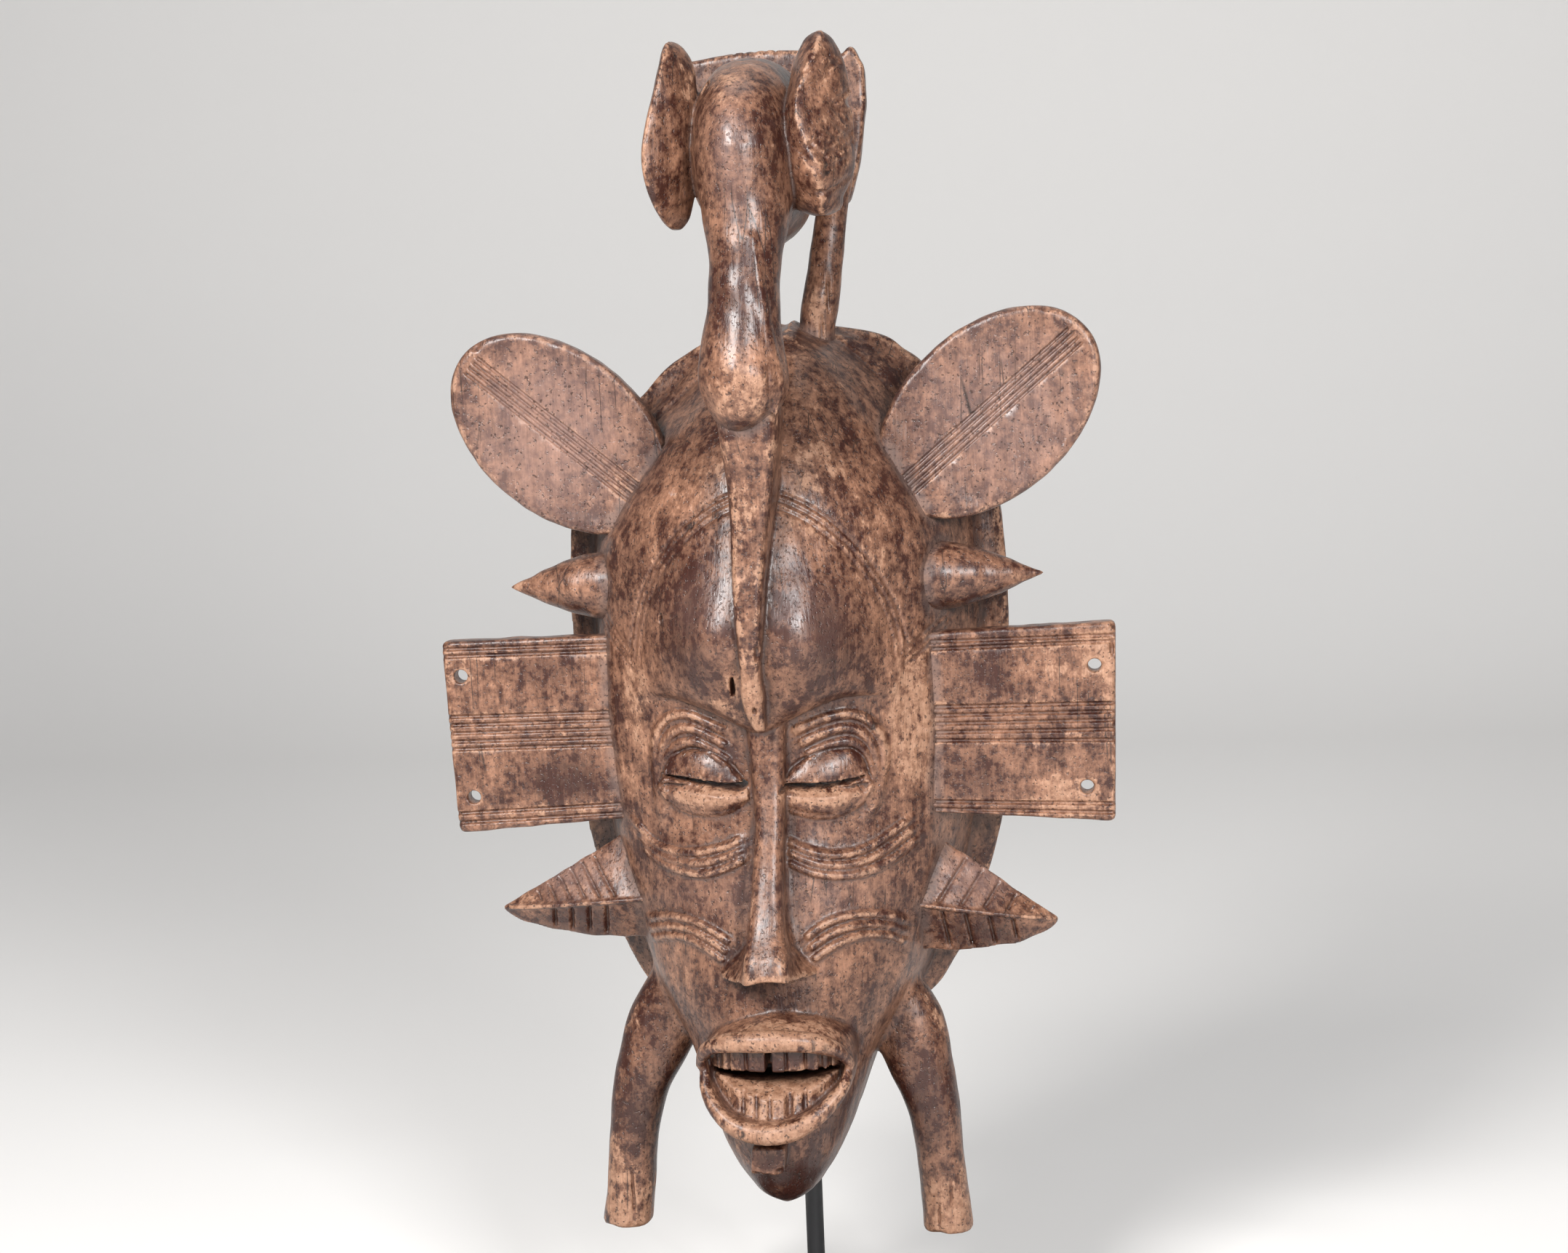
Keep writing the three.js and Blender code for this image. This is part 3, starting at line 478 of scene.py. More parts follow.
def addForehead(block, lines):
    shape = foreheadShape
    q = archReach(block)
    rise = shape["rise"] * np.clip(1 - q ** 2, 0, 1) ** shape["fall"]
    for side in (-1, 1):
        lobe = ((block.faceX - side * shape["lobeX"]) / shape["lobeWide"]) ** 2
        lobe = lobe + ((block.faceZ - shape["lobeZ"]) / shape["lobeTall"]) ** 2
        rise = rise + shape["lobeRise"] * np.exp(-lobe)
    front = groundDepth(block) + lines - np.where(q < 1, rise, rise - (q - 1) * 30)
    edge = profile(shape["lowEdge"], block.faceX) - block.faceZ
    facing = (front[:, None, :] - block.y) / np.minimum(steepness(front, block.axes[0], block.axes[2]), 3)[:, None, :]
    spans = block.window([-46, -99, 219], [46, -50, 302], 0)[0]
    body = smoothMax(edge[:, None, :] * 0.93 + 0 * block.y, facing, shape["edgeRadius"])
    block.add(spans, body[spans], 0.5)


noseShape = {
    "bridge": [
        [146, -0.65, 7.3, -88.5], [149.7, -0.65, 7.3, -89.5], [155, -0.7, 7, -88.5], [163, -0.9, 5.7, -84],
        [174, -0.5, 4.9, -79.5], [187, 0.1, 4.5, -75.5], [195, 0.5, 4.5, -73.5], [207, 0.3, 4.9, -71],
        [218, 0.2, 5.4, -70],
        [229, 0.2, 6, -69],
    ],
    "bottom": [[-18, 146.8], [-16.4, 146.8], [-8, 148], [0, 149.8], [8, 148.6], [12.4, 147.6], [14, 147.6]],
    "left": -17, "middle": -0.6, "right": 13.2, "top": 160, "tipTop": 149.4, "flatShare": 0.25, "rise": 14.6,
    "tipRise": 3.2,
    "corner": 4.2, "blend": 4,
}


# The nose: a square bridge, two flat triangular wings, and one flat cut underneath.
def addNose(block):
    shape = noseShape
    rows = np.array(shape["bridge"])
    spans, x, y, z = block.window([-19, -94, 144], [18, -60, 230], 2)
    middle, half, front = (profile(rows[:, [0, k]], z) for k in (1, 2, 3))
    bridge = smoothMax(np.abs(x - middle) - half + 0 * y, front - y + 0 * x, shape["corner"])
    ground = groundDepth(block)[spans[0], spans[2]][:, None, :]
    reach = np.where(x < shape["middle"], shape["middle"] - shape["left"], shape["right"] - shape["middle"])
    away = np.clip(np.abs(x - shape["middle"]) / reach, 0, 1.2)
    bottom = profile(shape["bottom"], x)
    fall = np.clip((away - shape["flatShare"]) / (1 - shape["flatShare"]), 0, 1)
    top = shape["top"] + (shape["tipTop"] - shape["top"]) * fall
    share = np.clip((top - z) / np.maximum(top - bottom, 0.5), 0, 1)
    wing = ground + 1 - (shape["tipRise"] + 1 + shape["rise"] * np.clip(1 - away, 0, 1) ** 0.75) * share ** 0.8
    slope = steepness(wing[:, 0, :], block.axes[0][spans[0]], block.axes[2][spans[2]])
    slope = np.minimum(slope, 3)[:, None, :]
    wings = np.maximum((wing - y) / slope, (away - 1) * reach)
    whole = smoothMin(bridge, wings, shape["blend"])
    whole = smoothMax(whole, bottom - z + 0 * y, 0.5)
    block.add(spans, whole, 0.7)


mouthShape = {
    "muzzle": [
        [98.2, -1.8, -66, 7, 11], [99.4, -1.8, -66, 10, 17.5], [101.3, -1.5, -66, 14.5, 22.5],
        [103.8, -1.1, -66, 18.2, 25.5],
        [108, -0.5, -66, 21.3, 26.5], [113, 0, -66, 23.2, 26.5], [118, 0.4, -66, 24, 26.5], [123, 0.7, -66, 24, 26],
        [127, 1, -66, 22.6, 24.6], [129.4, 1.3, -66, 20.4, 22.8], [131.6, 1.6, -66, 17.2, 20.2],
        [133.8, 1.9, -66, 12.4, 15.6],
        [135.6, 2, -66, 6, 8],
    ],
    "corners": 2.35,
    "lipLine": [
        [-24.5, 118], [-22, 122], [-19.5, 125.6], [-13.2, 127.4], [-6.9, 128], [-0.7, 128], [7.6, 127.7],
        [13.8, 126.9],
        [18.9, 125], [22.4, 121.8], [24.8, 117.5],
    ],
    "bowl": [
        [-21.4, 126], [-20.6, 121], [-19.6, 117], [-17.7, 113.4], [-14, 109.2], [-8.9, 106.8], [-0.6, 106],
        [6.7, 107],
        [13.1, 110.2], [17.4, 113.6], [20.6, 117], [22, 121], [23, 126],
    ],
    "upperRoll": [
        [-22.6, -81, 122.2, 1.8], [-20.8, -84.6, 126.6, 2.5], [-15.4, -88.2, 130.1, 3.1], [-7, -90.6, 131.4, 3.5],
        [0.6, -91.2, 131.7, 3.6], [8, -90.6, 131.3, 3.5], [15.6, -88.3, 129.7, 3.1], [21, -84.6, 126.2, 2.5],
        [23.6, -81, 121.8, 1.8],
    ],
    "lowerRim": [
        [-21.6, -80.2, 120.6, 1.5], [-21.2, -83.6, 115.8, 2], [-17.8, -87.4, 109.6, 2.5], [-12.2, -89.8, 105, 3.1],
        [-6, -91, 102.8, 3.4], [-1, -91.4, 102.4, 3.5], [5.5, -91, 103.4, 3.4], [12.6, -89.4, 106.6, 3.1],
        [18.2, -87, 111.4, 2.5], [22.4, -83.4, 117, 2], [23.2, -80.2, 120.6, 1.5],
    ],
    "pocketBack": -64, "sideBack": 14, "teethBottom": 121.1, "teethBack": -62, "openingBottom": 115.8,
    "openingHalf": 17.5,
    "openingX": 0.4, "openingDrop": 2.6, "openingBack": -40, "openingClimb": 0.3, "gapDepth": 1.5,
    "upperFront": -88.6,
    "upperCuts": [
        [-16.2, 0.3], [-13.6, 0.35], [-7.8, 0.3], [-0.7, 0.8], [4.7, 0.35], [10.4, 0.3], [15, 0.35], [17.8, 0.3],
    ],
    "lowerFront": -86.6, "lowerTop": 111.9, "lowerLean": 0.3, "shelfClimb": 0.5,
    "lowerCuts": [[-9.4, 0.4], [-5.3, 0.45], [-1.1, 0.4], [4.9, 0.75], [9.8, 0.4]],
}


# The open mouth: a thick muzzle, two rolled lips, a pocket cut between them, and two rows of carved teeth.
def addMouth(block):
    shape = mouthShape
    addColumn(block, shape["muzzle"], 1.6, shape["corners"], 1.0)
    addTube(block, shape["upperRoll"], 1.2)
    addTube(block, shape["lowerRim"], 1.4)
    spans, x, y, z = block.window([-26, -98, 97], [27, shape["pocketBack"], 131], 1)
    lipLine, bowl = profile(shape["lipLine"], x), profile(shape["bowl"], x)
    bowlSlope = steepness(profile(shape["bowl"], block.axes[0]), block.axes[0])
    bowlSlope = np.clip(bowlSlope, 1, 3.4)[spans[0]][:, None, None]
    region = smoothMax(z - lipLine, (bowl - z) / bowlSlope, 0.8)
    back = shape["pocketBack"] - shape["sideBack"] * np.clip(np.abs(x - 0.6) / 20.5, 0, 1.2) ** 3
    block.cut(spans, np.maximum(region + 0 * y, y - back), 0.9)
    cutMouthSlit(block)
    teeth = upperTeeth(x, y, z, lipLine)
    block.add(spans, teeth, 0.2)
    teeth = lowerTeeth(x, y, z, bowl, bowlSlope)
    block.add(spans, teeth, 0.25)


# The slit between the teeth, which climbs towards the hollow.
def cutMouthSlit(block):
    shape = mouthShape
    spans, x, y, z = block.window([-24, -98, 115], [24, shape["openingBack"], 134], 1)
    aside = np.abs(x - shape["openingX"])
    climb = shape["openingClimb"] * np.clip(y + 79, 0, 50)
    floorLine = shape["openingBottom"] + shape["openingDrop"] * (aside / shape["openingHalf"]) ** 2 + climb
    opening = np.maximum(floorLine - z, z - shape["teethBottom"] - climb)
    opening = np.maximum(opening, aside - shape["openingHalf"])
    block.cut(spans, np.maximum(opening, y - shape["openingBack"]), 0.2)


# A row of teeth bulges forward on an arc, from its back to its front.
def toothArc(x, middle, half, front):
    bulge = np.sqrt(np.clip(1 - ((x - middle) / half) ** 2, 0.02, 1))
    return bulge, mouthShape["teethBack"] + (front - mouthShape["teethBack"]) * bulge


def upperTeeth(x, y, z, lipLine):
    shape = mouthShape
    front = toothArc(x, 0.6, 27, shape["upperFront"])[1]
    for middle, half in shape["upperCuts"]:
        gap = smoothStep(half + 0.25, half - 0.1, np.abs(x - middle))
        front = front + shape["gapDepth"] * gap * (1 + 6 * (half > 0.7))
    teeth = np.maximum(front - y, shape["teethBottom"] - z)
    teeth = np.maximum(teeth, np.maximum(z - lipLine - 2, np.abs(x - shape["openingX"]) - 20.5 + 0 * y))
    return np.maximum(teeth, y - shape["teethBack"])


def lowerTeeth(x, y, z, bowl, bowlSlope):
    shape = mouthShape
    bulge, front = toothArc(x, 0.2, 24.5, shape["lowerFront"])
    front = front - shape["lowerLean"] * np.clip(shape["lowerTop"] - z, 0, 12) * bulge
    for middle, half in shape["lowerCuts"]:
        wedge = half + 0.03 * np.clip(z - shape["lowerTop"] + 8, 0, 8)
        gap = smoothStep(wedge + 0.3, wedge - 0.25, np.abs(x - middle))
        front = front + shape["gapDepth"] * gap * (1 + 0.8 * (half > 0.7))
    aside = x - shape["openingX"]
    climb = shape["shelfClimb"] * np.clip(y - shape["lowerFront"], 0, 13)
    shelf = shape["lowerTop"] + 3.3 * (aside / 20) ** 2 + climb
    shelf = np.minimum(shelf, shape["openingBottom"] + shape["openingDrop"] * (aside / shape["openingHalf"]) ** 2)
    teeth = smoothMax(front - y, (z - shelf) * 0.93, 0.7)
    teeth = np.maximum(teeth, (bowl - 2 - z) / bowlSlope)
    return np.maximum(teeth, y - shape["teethBack"])


# The chin's knob, a small worn block under the lower lip.
def addKnob(block):
    spans, x, y, z = block.window([-9, -86, 84], [4, -68, 98], 2)
    lean = 0.12 * (z - 91)
    shape = smoothMax(np.abs(x + 2.9 - lean) - 5.3, np.abs(z - 91.2) - 4.6 + 0 * x, 1.6)
    shape = smoothMax(shape + 0 * y, -83.2 - 0.14 * (z - 91) - y, 1.2)
    block.add(spans, np.maximum(shape, y + 66), 0.6)


legShape = {
    "left": [
        [54.9, -57.1, -29, 8.3, 8], [65, -55.7, -29, 8, 8], [86.7, -53.2, -29, 8.2, 8], [99, -50.9, -28, 9.2, 9],
        [111, -46.4, -27, 11.5, 10], [126, -40.5, -26, 13, 10], [142, -35, -26, 9, 8],
    ],
    "right": [
        [52, 49.2, -29, 8.2, 8], [64, 48.3, -29, 7.8, 8], [79, 47.1, -29, 7.8, 8], [93, 45.4, -28, 8.7, 9],
        [108, 41.2, -27, 11, 10], [125, 36.3, -26, 12.5, 10], [140, 32, -26, 8, 8],
    ],
    "corners": 2.3, "endRound": 2.4,
}
beakShape = {
    "levels": [
        [226, -0.3, -72, 1.6, 8], [232, -1.4, -74, 3, 9.4], [238, -1.8, -75, 3.6, 10.2], [243, -1.8, -76, 3.2, 10.8],
        [251, -1.7, -77, 3.5, 11.4], [258, -1.5, -78, 4.1, 11.6], [268.6, -1.3, -78, 4.8, 11.6],
        [280, -0.7, -77, 5.5, 11.6],
        [291.7, 0.1, -76.5, 6.3, 12], [303, 0.6, -77, 7.3, 12], [315, 0.8, -79, 8.8, 12], [325, 0.6, -80, 9.3, 11.5],
        [331, 0, -81, 8.4, 11],
    ],
    "corners": 5.5,
}
headChips = [
    [[0.8, -89.2, 250.8], [0.7, 3.4, 3.3]], [[-8.2, -80, 239.6], [0.75, 6, 3.8]],
    [[-17.9, -79, 239.9], [1.2, 2.2, 1.0]],
    [[-1.2, -84, 232.9], [0.7, 2.5, 1.2]], [[-6.8, -83.5, 86.6], [2.4, 3, 1.3]],
    [[1.4, -83.6, 87.4], [2.2, 2.6, 1.8]],
    [[-3.2, -83.4, 86.2], [1.2, 3, 0.9]], [[-60.5, -33, 54.6], [3.4, 3.6, 1.4]], [[45, -36.4, 52], [4, 2.4, 1.6]],
    [[-53.6, -37.2, 66], [0.35, 1.6, 9]], [[-57.8, -37.1, 60], [0.3, 1.4, 5.5]], [[50.6, -37, 64], [0.35, 1.6, 8.5]],
    [[46.6, -37, 58], [0.3, 1.3, 5]], [[-20.5, -93.3, 119], [0.5, 1.6, 1.1]], [[7.4, -96.6, 131.6], [1.7, 1.5, 0.7]],
    [[-23.6, -70, 172], [0.7, 1.2, 1]], [[39, -58.6, 226], [0.8, 1.3, 0.8]], [[-31, -66.6, 260], [0.6, 1.3, 1.6]],
    [[52.6, -40, 232], [0.9, 1.4, 4.2]], [[-50.4, -46.5, 221], [0.6, 1.2, 2.6]], [[21, -73.4, 290], [0.5, 1.2, 3.4]],
    [[31.4, -70, 281], [0.45, 1.1, 2.6]], [[-21.4, -73, 283], [0.45, 1.1, 2.2]],
]


def headBlock():
    block = Block(*headShape["grid"])
    front = groundDepth(block)
    lines = incisedLines(block)
    front = front + lines
    for shape in scarShape.values():
        front = front - threeScars(block, shape)
    front = front - eyeRelief(block)
    block.field = headField(block, front)
    print("head field", block.field.shape, flush=True)
    addForehead(block, lines)
    addColumn(block, beakShape["levels"], 0.6, beakShape["corners"])
    addNose(block)
    addMouth(block)
    addKnob(block)
    for key in ("left", "right"):
        addColumn(block, legShape[key], 3, legShape["corners"], legShape["endRound"])
    block.field += 0.2 * waves(block, 4, (9, 16))
    block.cut(everywhere, cavityField(block.x, block.y, block.z), 1.6)
    cutSlits(block)
    cutChips(block, headChips)
    return block


birdShape = {
    "grid": [[[-33, 0.65, 37]], [[-103, 0.75, 18]], [[312, 0.65, 442]]],
    "body": [[1, -39, 402], [18.5, 53, 29.5]], "bodyCorners": 2.3,
    "neckFacet": [
        [5, -91.6, 376, 0.7], [6, -92.6, 366, 0.9], [7.6, -92.6, 355, 1], [9.4, -92.4, 343, 1], [11, -92, 332, 0.9],
        [10, -92.4, 324, 0.7],
    ],
    "notches": [3.4, 0.5, -13, 7],
    "neck": [
        [317.4, -1.5, -86, 1, 2], [319.5, -1.3, -86, 5, 6.5], [322, -0.8, -86, 8, 9.6], [325, -0.1, -86, 10.5, 11.8],
        [328, 0.3, -86, 12.2, 13], [333, 0.2, -86, 13.5, 14], [338, -0.1, -86, 13.5, 14],
        [342, -0.2, -85.5, 12.8, 13.3],
        [347, 0, -85, 12.1, 12.4], [352, 0.4, -84.5, 11.5, 11.8], [357, 0.8, -84, 11, 11.4],
        [363, 1.1, -83, 10.9, 11.5],
        [369, 1.6, -81.5, 11, 12], [374, 1.7, -80, 11.7, 13], [380, 1.8, -78, 12.8, 14], [402, 1, -70, 13.8, 20],
    ],
    "wings": [
        {
            "left": [
                [379.6, -23], [381, -24.4], [385.5, -26.6], [394, -28.6], [403, -29.5], [409, -28.5],
                [422.5, -25.7], [429, -24.3], [433, -23.2], [435.2, -22], [436.2, -20.8],
            ],
            "right": [
                [379.6, -20], [381, -18.6], [385.5, -16.6], [394, -14.6], [403, -13.4], [409, -12.8],
                [422.5, -13.3], [429, -14.1], [433, -16], [435.2, -18], [436.2, -19.6],
            ],
            "ridge": [
                [379.6, -21.4], [387, -24.2], [394, -25.4], [403, -25.6], [412, -24], [422, -21.6], [430, -20.4],
                [436.2, -20.2],
            ],
            "splay": 8,
        },
        {
            "left": [
                [382.2, 20.4], [383.6, 16.9], [388, 11.7], [394, 9.3], [402, 8.5], [412, 10.5], [420.5, 14.6],
                [428, 16.5], [433, 18.8], [436, 21], [437.6, 23.6],
            ],
            "right": [
                [382.2, 26], [383.6, 28.7], [388, 30.5], [394, 33.4], [402, 34.2], [412, 34], [420.5, 33.3],
                [428, 32], [433, 30], [436, 28], [437.6, 25.8],
            ],
            "ridge": [
                [382.2, 23.3], [387.7, 23.6], [394, 22], [401.4, 20], [409.8, 17.2], [415, 16.6], [425.2, 20],
                [432, 23.4], [437.4, 25],
            ],
            "splay": 6,
        },
    ],
    "wing": {
        "y": -64, "depth": 19, "corners": 1.4,
        "share": [
            [379, 0.2], [382, 0.46], [388, 0.74], [394, 0.93], [403, 1], [412, 0.94], [421, 0.79], [429, 0.63],
            [434, 0.46], [437.6, 0.2],
        ],
    },
    "tail": {
        "x": 1, "back": 14, "thick": 8, "bottom": 386,
        "side": [
            [385, 24], [387.2, 24.9], [395.1, 27.5], [406.3, 29.6], [422, 31.3], [431, 30.5], [436.2, 28.2],
            [438, 27],
        ],
        "top": [
            [-29, 431.5], [-27, 434], [-25, 434.2], [-22, 434.6], [-2, 436.6], [10.6, 436.2], [22, 434.6],
            [25, 434.6], [27.5, 436.6], [29, 436.2], [31, 432],
        ],
    },
    "legs": {"y": -9, "levels": [
        [
            [329, -7.6, 7.8], [336, -8.4, 6.8], [345, -9.4, 5.9], [352, -10.2, 6.1], [366, -11.6, 5.8],
            [382, -13.4, 5.4], [396, -15.4, 5.8],
        ],
        [
            [329, 12.5, 7.8], [336, 13.9, 6.8], [345, 15.1, 5.9], [352, 16.2, 6.1], [366, 18.5, 5.7], [382, 21, 5.2],
            [396, 23.3, 5.8],
        ],
    ]},
}
birdChips = [
    [[-12.8, -74, 417], [0.9, 4, 1.5]], [[33.4, -64, 416], [1.2, 6, 1.6]], [[9, -97.4, 333], [0.6, 1.4, 9]],
    [[-6, -62, 430], [1.4, 4, 1.6]], [[3, -56, 431.6], [1.2, 5, 1.4]], [[-9.5, -70, 421], [1, 3, 3.4]],
    [[25, -78, 389], [1.6, 1.4, 0.7]], [[1.5, -100, 327], [1.2, 1.2, 0.8]],
    [[19.6, -14.6, 357], [0.5, 1.2, 7]], [[17, -14.8, 346], [0.5, 1.2, 5]],
]


def addWing(block, k):
    rows, shape = birdShape["wings"][k], birdShape["wing"]
    low, high = rows["left"][0][0], rows["left"][-1][0]
    spans, x, y, z = block.window([rows["left"][4][1] - 6, -90, low], [rows["right"][4][1] + 6, -38, high], 2)
    angle = math.radians(rows["splay"]) * (1, -1)[k]
    middleX = (rows["left"][4][1] + rows["right"][4][1]) / 2
    along = (y - shape["y"]) * math.cos(angle) + (x - middleX) * math.sin(angle)
    across = middleX + (x - middleX) * math.cos(angle) - (y - shape["y"]) * math.sin(angle)
    left, right, top = (profile(rows[key], z) for key in ("left", "right", "ridge"))
    depth = np.maximum(shape["depth"] * profile(shape["share"], z), 0.6)
    crest = top + 0 * across
    half = np.where(across > crest, np.maximum(right - crest, 0.4), np.maximum(crest - left, 0.4))
    p = shape["corners"]
    away = np.hypot(across - crest, along)
    q = ((np.abs(across - crest) / half) ** p + (np.abs(along) / depth) ** p) ** (1 / p)
    field = away * (1 - 1 / np.maximum(q, 1e-3)) * 0.9
    field = smoothMax(field, np.maximum(low - z, z - high) + 0 * field, 0.8)
    if k == 1:
        chance = np.random.default_rng(21)
        for _ in range(20):
            cx, cz = chance.uniform(21, 33), chance.uniform(389, 430)
            lean = chance.choice([-1.1, 0.8]) + chance.normal() * 0.15
            line = np.abs((z - cz) - lean * (x - cx)) / math.hypot(1, lean)
            fade = 1 - smoothStep(0.5, 1, np.hypot(x - cx, z - cz) / chance.uniform(4, 8))
            field = field + groove(line, 0.5, 0.75) * fade * (along < -1)
    block.add(spans, field, 1.1)


def addTail(block):
    shape = birdShape["tail"]
    spans, x, y, z = block.window([-31, 5, 384], [33, 15, 439], 1)
    side = np.abs(x - shape["x"]) - profile(shape["side"], z)
    pitch, deep, low, high = birdShape["notches"]
    notches = deep * np.clip(np.cos(x * 2 * math.pi / pitch), 0, 1) ** 3
    notches = notches * smoothStep(low, low + 3, x) * smoothStep(high, high - 3, x)
    outline = smoothMax(z + notches - profile(shape["top"], x), shape["bottom"] - z + 0 * x, 1.5)
    outline = smoothMax(side, outline, 1.6)
    thick = np.maximum(y - shape["back"], shape["back"] - shape["thick"] - y)
    block.add(spans, smoothMax(outline + 0 * y, thick + 0 * x, 2.2), 2)


def birdBlock():
    block = Block(*birdShape["grid"])
    centre, radii = birdShape["body"]
    corners = birdShape["bodyCorners"]
    spans, x, y, z = block.around(centre, radii)
    ways = [np.abs(places - c) / r for places, c, r in zip((x, y, z), centre, radii)]
    q = np.maximum(sum(way ** corners for way in ways) ** (1 / corners), 1e-3)
    away = np.sqrt((x - centre[0]) ** 2 + (y - centre[1]) ** 2 + (z - centre[2]) ** 2)
    block.add(spans, away * (1 - 1 / q) * 0.9, 1)
    addColumn(block, birdShape["neck"], 4, 2.0, 0.8)
    addTube(block, birdShape["neckFacet"], 2.4)
    addTail(block)
    legs = birdShape["legs"]
    for k in (0, 1):
        addWing(block, k)
        addColumn(block, [[z, x, legs["y"], r, r] for z, x, r in legs["levels"][k]], 2.2)
    block.field += 0.22 * waves(block, 8, (7, 13))
    cutChips(block, birdChips, 0.7)
    block.cut(everywhere, cavityField(block.x, block.y, block.z, hollowShape["clearance"]), 0.3)
    return block


# The head's side pieces. Values are given for the viewer's left, then the right.
earShape = {
    "grid": [[[-43, 0.8, 43]], [[-42, 0.5, -27]], [[-29, 0.8, -4.6], [-4.6, 0.27, 4.6], [4.6, 0.8, 29]]],
    "x": [65.8, 70.9], "z": [316.6, 318.8], "long": [40, 40.5], "short": [26.1, 26.6], "tilt": 40,
    "front": -38, "thick": 8, "rim": 2.6, "grooves": [-3.1, -1.05, 1.05, 3.1], "grooveDeep": 0.85, "grooveWide": 0.62,
    "chips": [
        [[[-31, -38.4, 22], [3, 1.2, 1.6]], [[20, -38.2, -22.6], [2.4, 1, 1]], [[38, -38, 6], [1.2, 1.4, 2]]],
        [
            [[14.5, -38.3, -24.2], [3.2, 1.5, 1.5]], [[36, -38.3, 12.6], [1.6, 1.2, 1.6]],
            [[-8, -38.2, 25.8], [2.6, 1.2, 0.9]],
        ],
    ],
}
spikeShape = {
    "grid": [[[39, 0.6, 89]], [[-46, 0.6, -20]], [[255, 0.6, 281]]],
    "root": 41, "tip": [84.8, 86.3], "y": -33, "z": 267.6, "radius": 11,
    "taper": [[0, 1.1], [0.2, 1.02], [0.34, 0.97], [0.56, 0.77], [0.78, 0.42], [0.94, 0.13], [1, 0.03]],
}
panelShape = {
    "grid": [[[44.5, 0.75, 110.5]], [[-43, 0.4, -31]], [[186, 0.34, 254.5]]],
    "outerTop": [107, 108.8], "outerBottom": [104.4, 107.2], "topInner": [252.2, 250.2], "topOuter": [251.3, 252.2],
    "bottomInner": 193, "bottomOuter": 188.6, "front": -41, "back": -33,
    "holes": [[[101.2, 240], [98.8, 200.6]], [[101.8, 238.6], [98.5, 199.9]]], "holeRadius": 2.15,
    "grooves": [
        [
            [249.4, 248.9], [247.2, 246.5], [227.4, 226.9], [224.8, 224.2], [222.1, 221.5], [219.4, 218.8],
            [216.9, 216.3], [197.6, 195.2], [194.6, 192.2],
        ],
        [
            [247.3, 248], [244.9, 246.1], [226.5, 226.5], [223.8, 223.8], [221.1, 221.1], [218.4, 218.2],
            [215.8, 214.8], [196.3, 194.4], [193.9, 191.5],
        ],
    ],
    "grooveWide": 0.78, "grooveDeep": 0.95,
    "chips": [
        [
            [[107.2, -41, 209], [1.5, 2.2, 2.4]], [[105.6, -41, 189.5], [1.8, 1.8, 1.3]],
            [[84, -41.2, 190.2], [4, 1.3, 0.9]], [[107, -41.2, 250.8], [1.6, 1.6, 1.2]],
        ],
        [
            [[107.2, -41, 244.4], [0.5, 2.6, 3.8]], [[109.2, -41, 251.4], [2, 2, 1.8]],
            [[108.2, -41.4, 221], [1, 1.6, 3]],
            [[76, -41.6, 251.6], [5, 1.4, 0.7]], [[96, -41.4, 189.4], [5, 1.4, 0.9]],
            [[107.9, -41, 196], [0.8, 2, 2.2]],
        ],
    ],
}
leafShape = {
    "grid": [[[38, 0.48, 95]], [[-44, 0.5, -24]], [[142, 0.45, 198]]],
    "tip": [94, 88.5], "tipZ": [162, 155.3], "topZ": [190, 188], "ridgeZ": [167, 164], "bottomZ": [151.5, 146],
    "root": 40, "rise": 5, "back": -32, "tipBack": -29, "ridgeY": -43.5, "roundness": 1.7,
    "above": [[53.6, 5.0, 6], [49.4, 7.2, 5]], "below": [[57, 5.9, 4], [51, 7.4, 4]], "leanUp": 0.62,
    "leanDown": -0.14,
    "wide": 0.75, "deep": 1.25,
}


def earBlock(k):
    shape = earShape
    block = Block(*shape["grid"])
    u, y, v = block.x, block.y, block.z
    outline = radial(u, v, shape["long"][k], shape["short"][k])
    dish = 0.5 * smoothStep(1, 9, -outline) - 0.4 * smoothStep(-16, -30, u)
    thick = np.maximum(shape["front"] + dish - y, y - shape["front"] - shape["thick"])
    plate = smoothMax(outline + 0 * y, thick, shape["rim"])
    for offset in shape["grooves"]:
        line = np.abs(v - offset) + 3 * smoothStep(shape["long"][k] - 4.5, shape["long"][k] - 3, np.abs(u))
        deep = groove(line, shape["grooveDeep"], shape["grooveWide"])
        plate = np.maximum(plate, shape["front"] + dish + deep - y)
    block.field = (plate + 0.16 * waves(block, 31 + k, (8, 15))).astype(np.float32)
    cutChips(block, shape["chips"][k], 0.8)
    turn = math.radians(shape["tilt"])
    x = shape["x"][k] + u * math.cos(turn) - v * math.sin(turn)
    z = shape["z"][k] + u * math.sin(turn) + v * math.cos(turn)
    clearHollow(block, x, z)

    def place(points):
        moved = points.copy()
        moved[:, 0] = shape["x"][k] + points[:, 0] * math.cos(turn) - points[:, 2] * math.sin(turn)
        moved[:, 2] = shape["z"][k] + points[:, 0] * math.sin(turn) + points[:, 2] * math.cos(turn)
        return moved

    return block, place


def spikeBlock(k):
    shape = spikeShape
    block = Block(*shape["grid"])
    along = np.clip((block.x - shape["root"]) / (shape["tip"][k] - shape["root"]), 0, 1)
    reach = shape["radius"] * profile(shape["taper"], along)
    field = (np.hypot(block.y - shape["y"], block.z - shape["z"]) - reach) * 0.88
    field = np.maximum(field, block.x - shape["tip"][k])
    field = np.maximum(field, shape["root"] - block.x)
    block.field = field + 0.2 * waves(block, 41 + k, (6, 11))
    clearHollow(block, block.x, block.z)
    return block, None


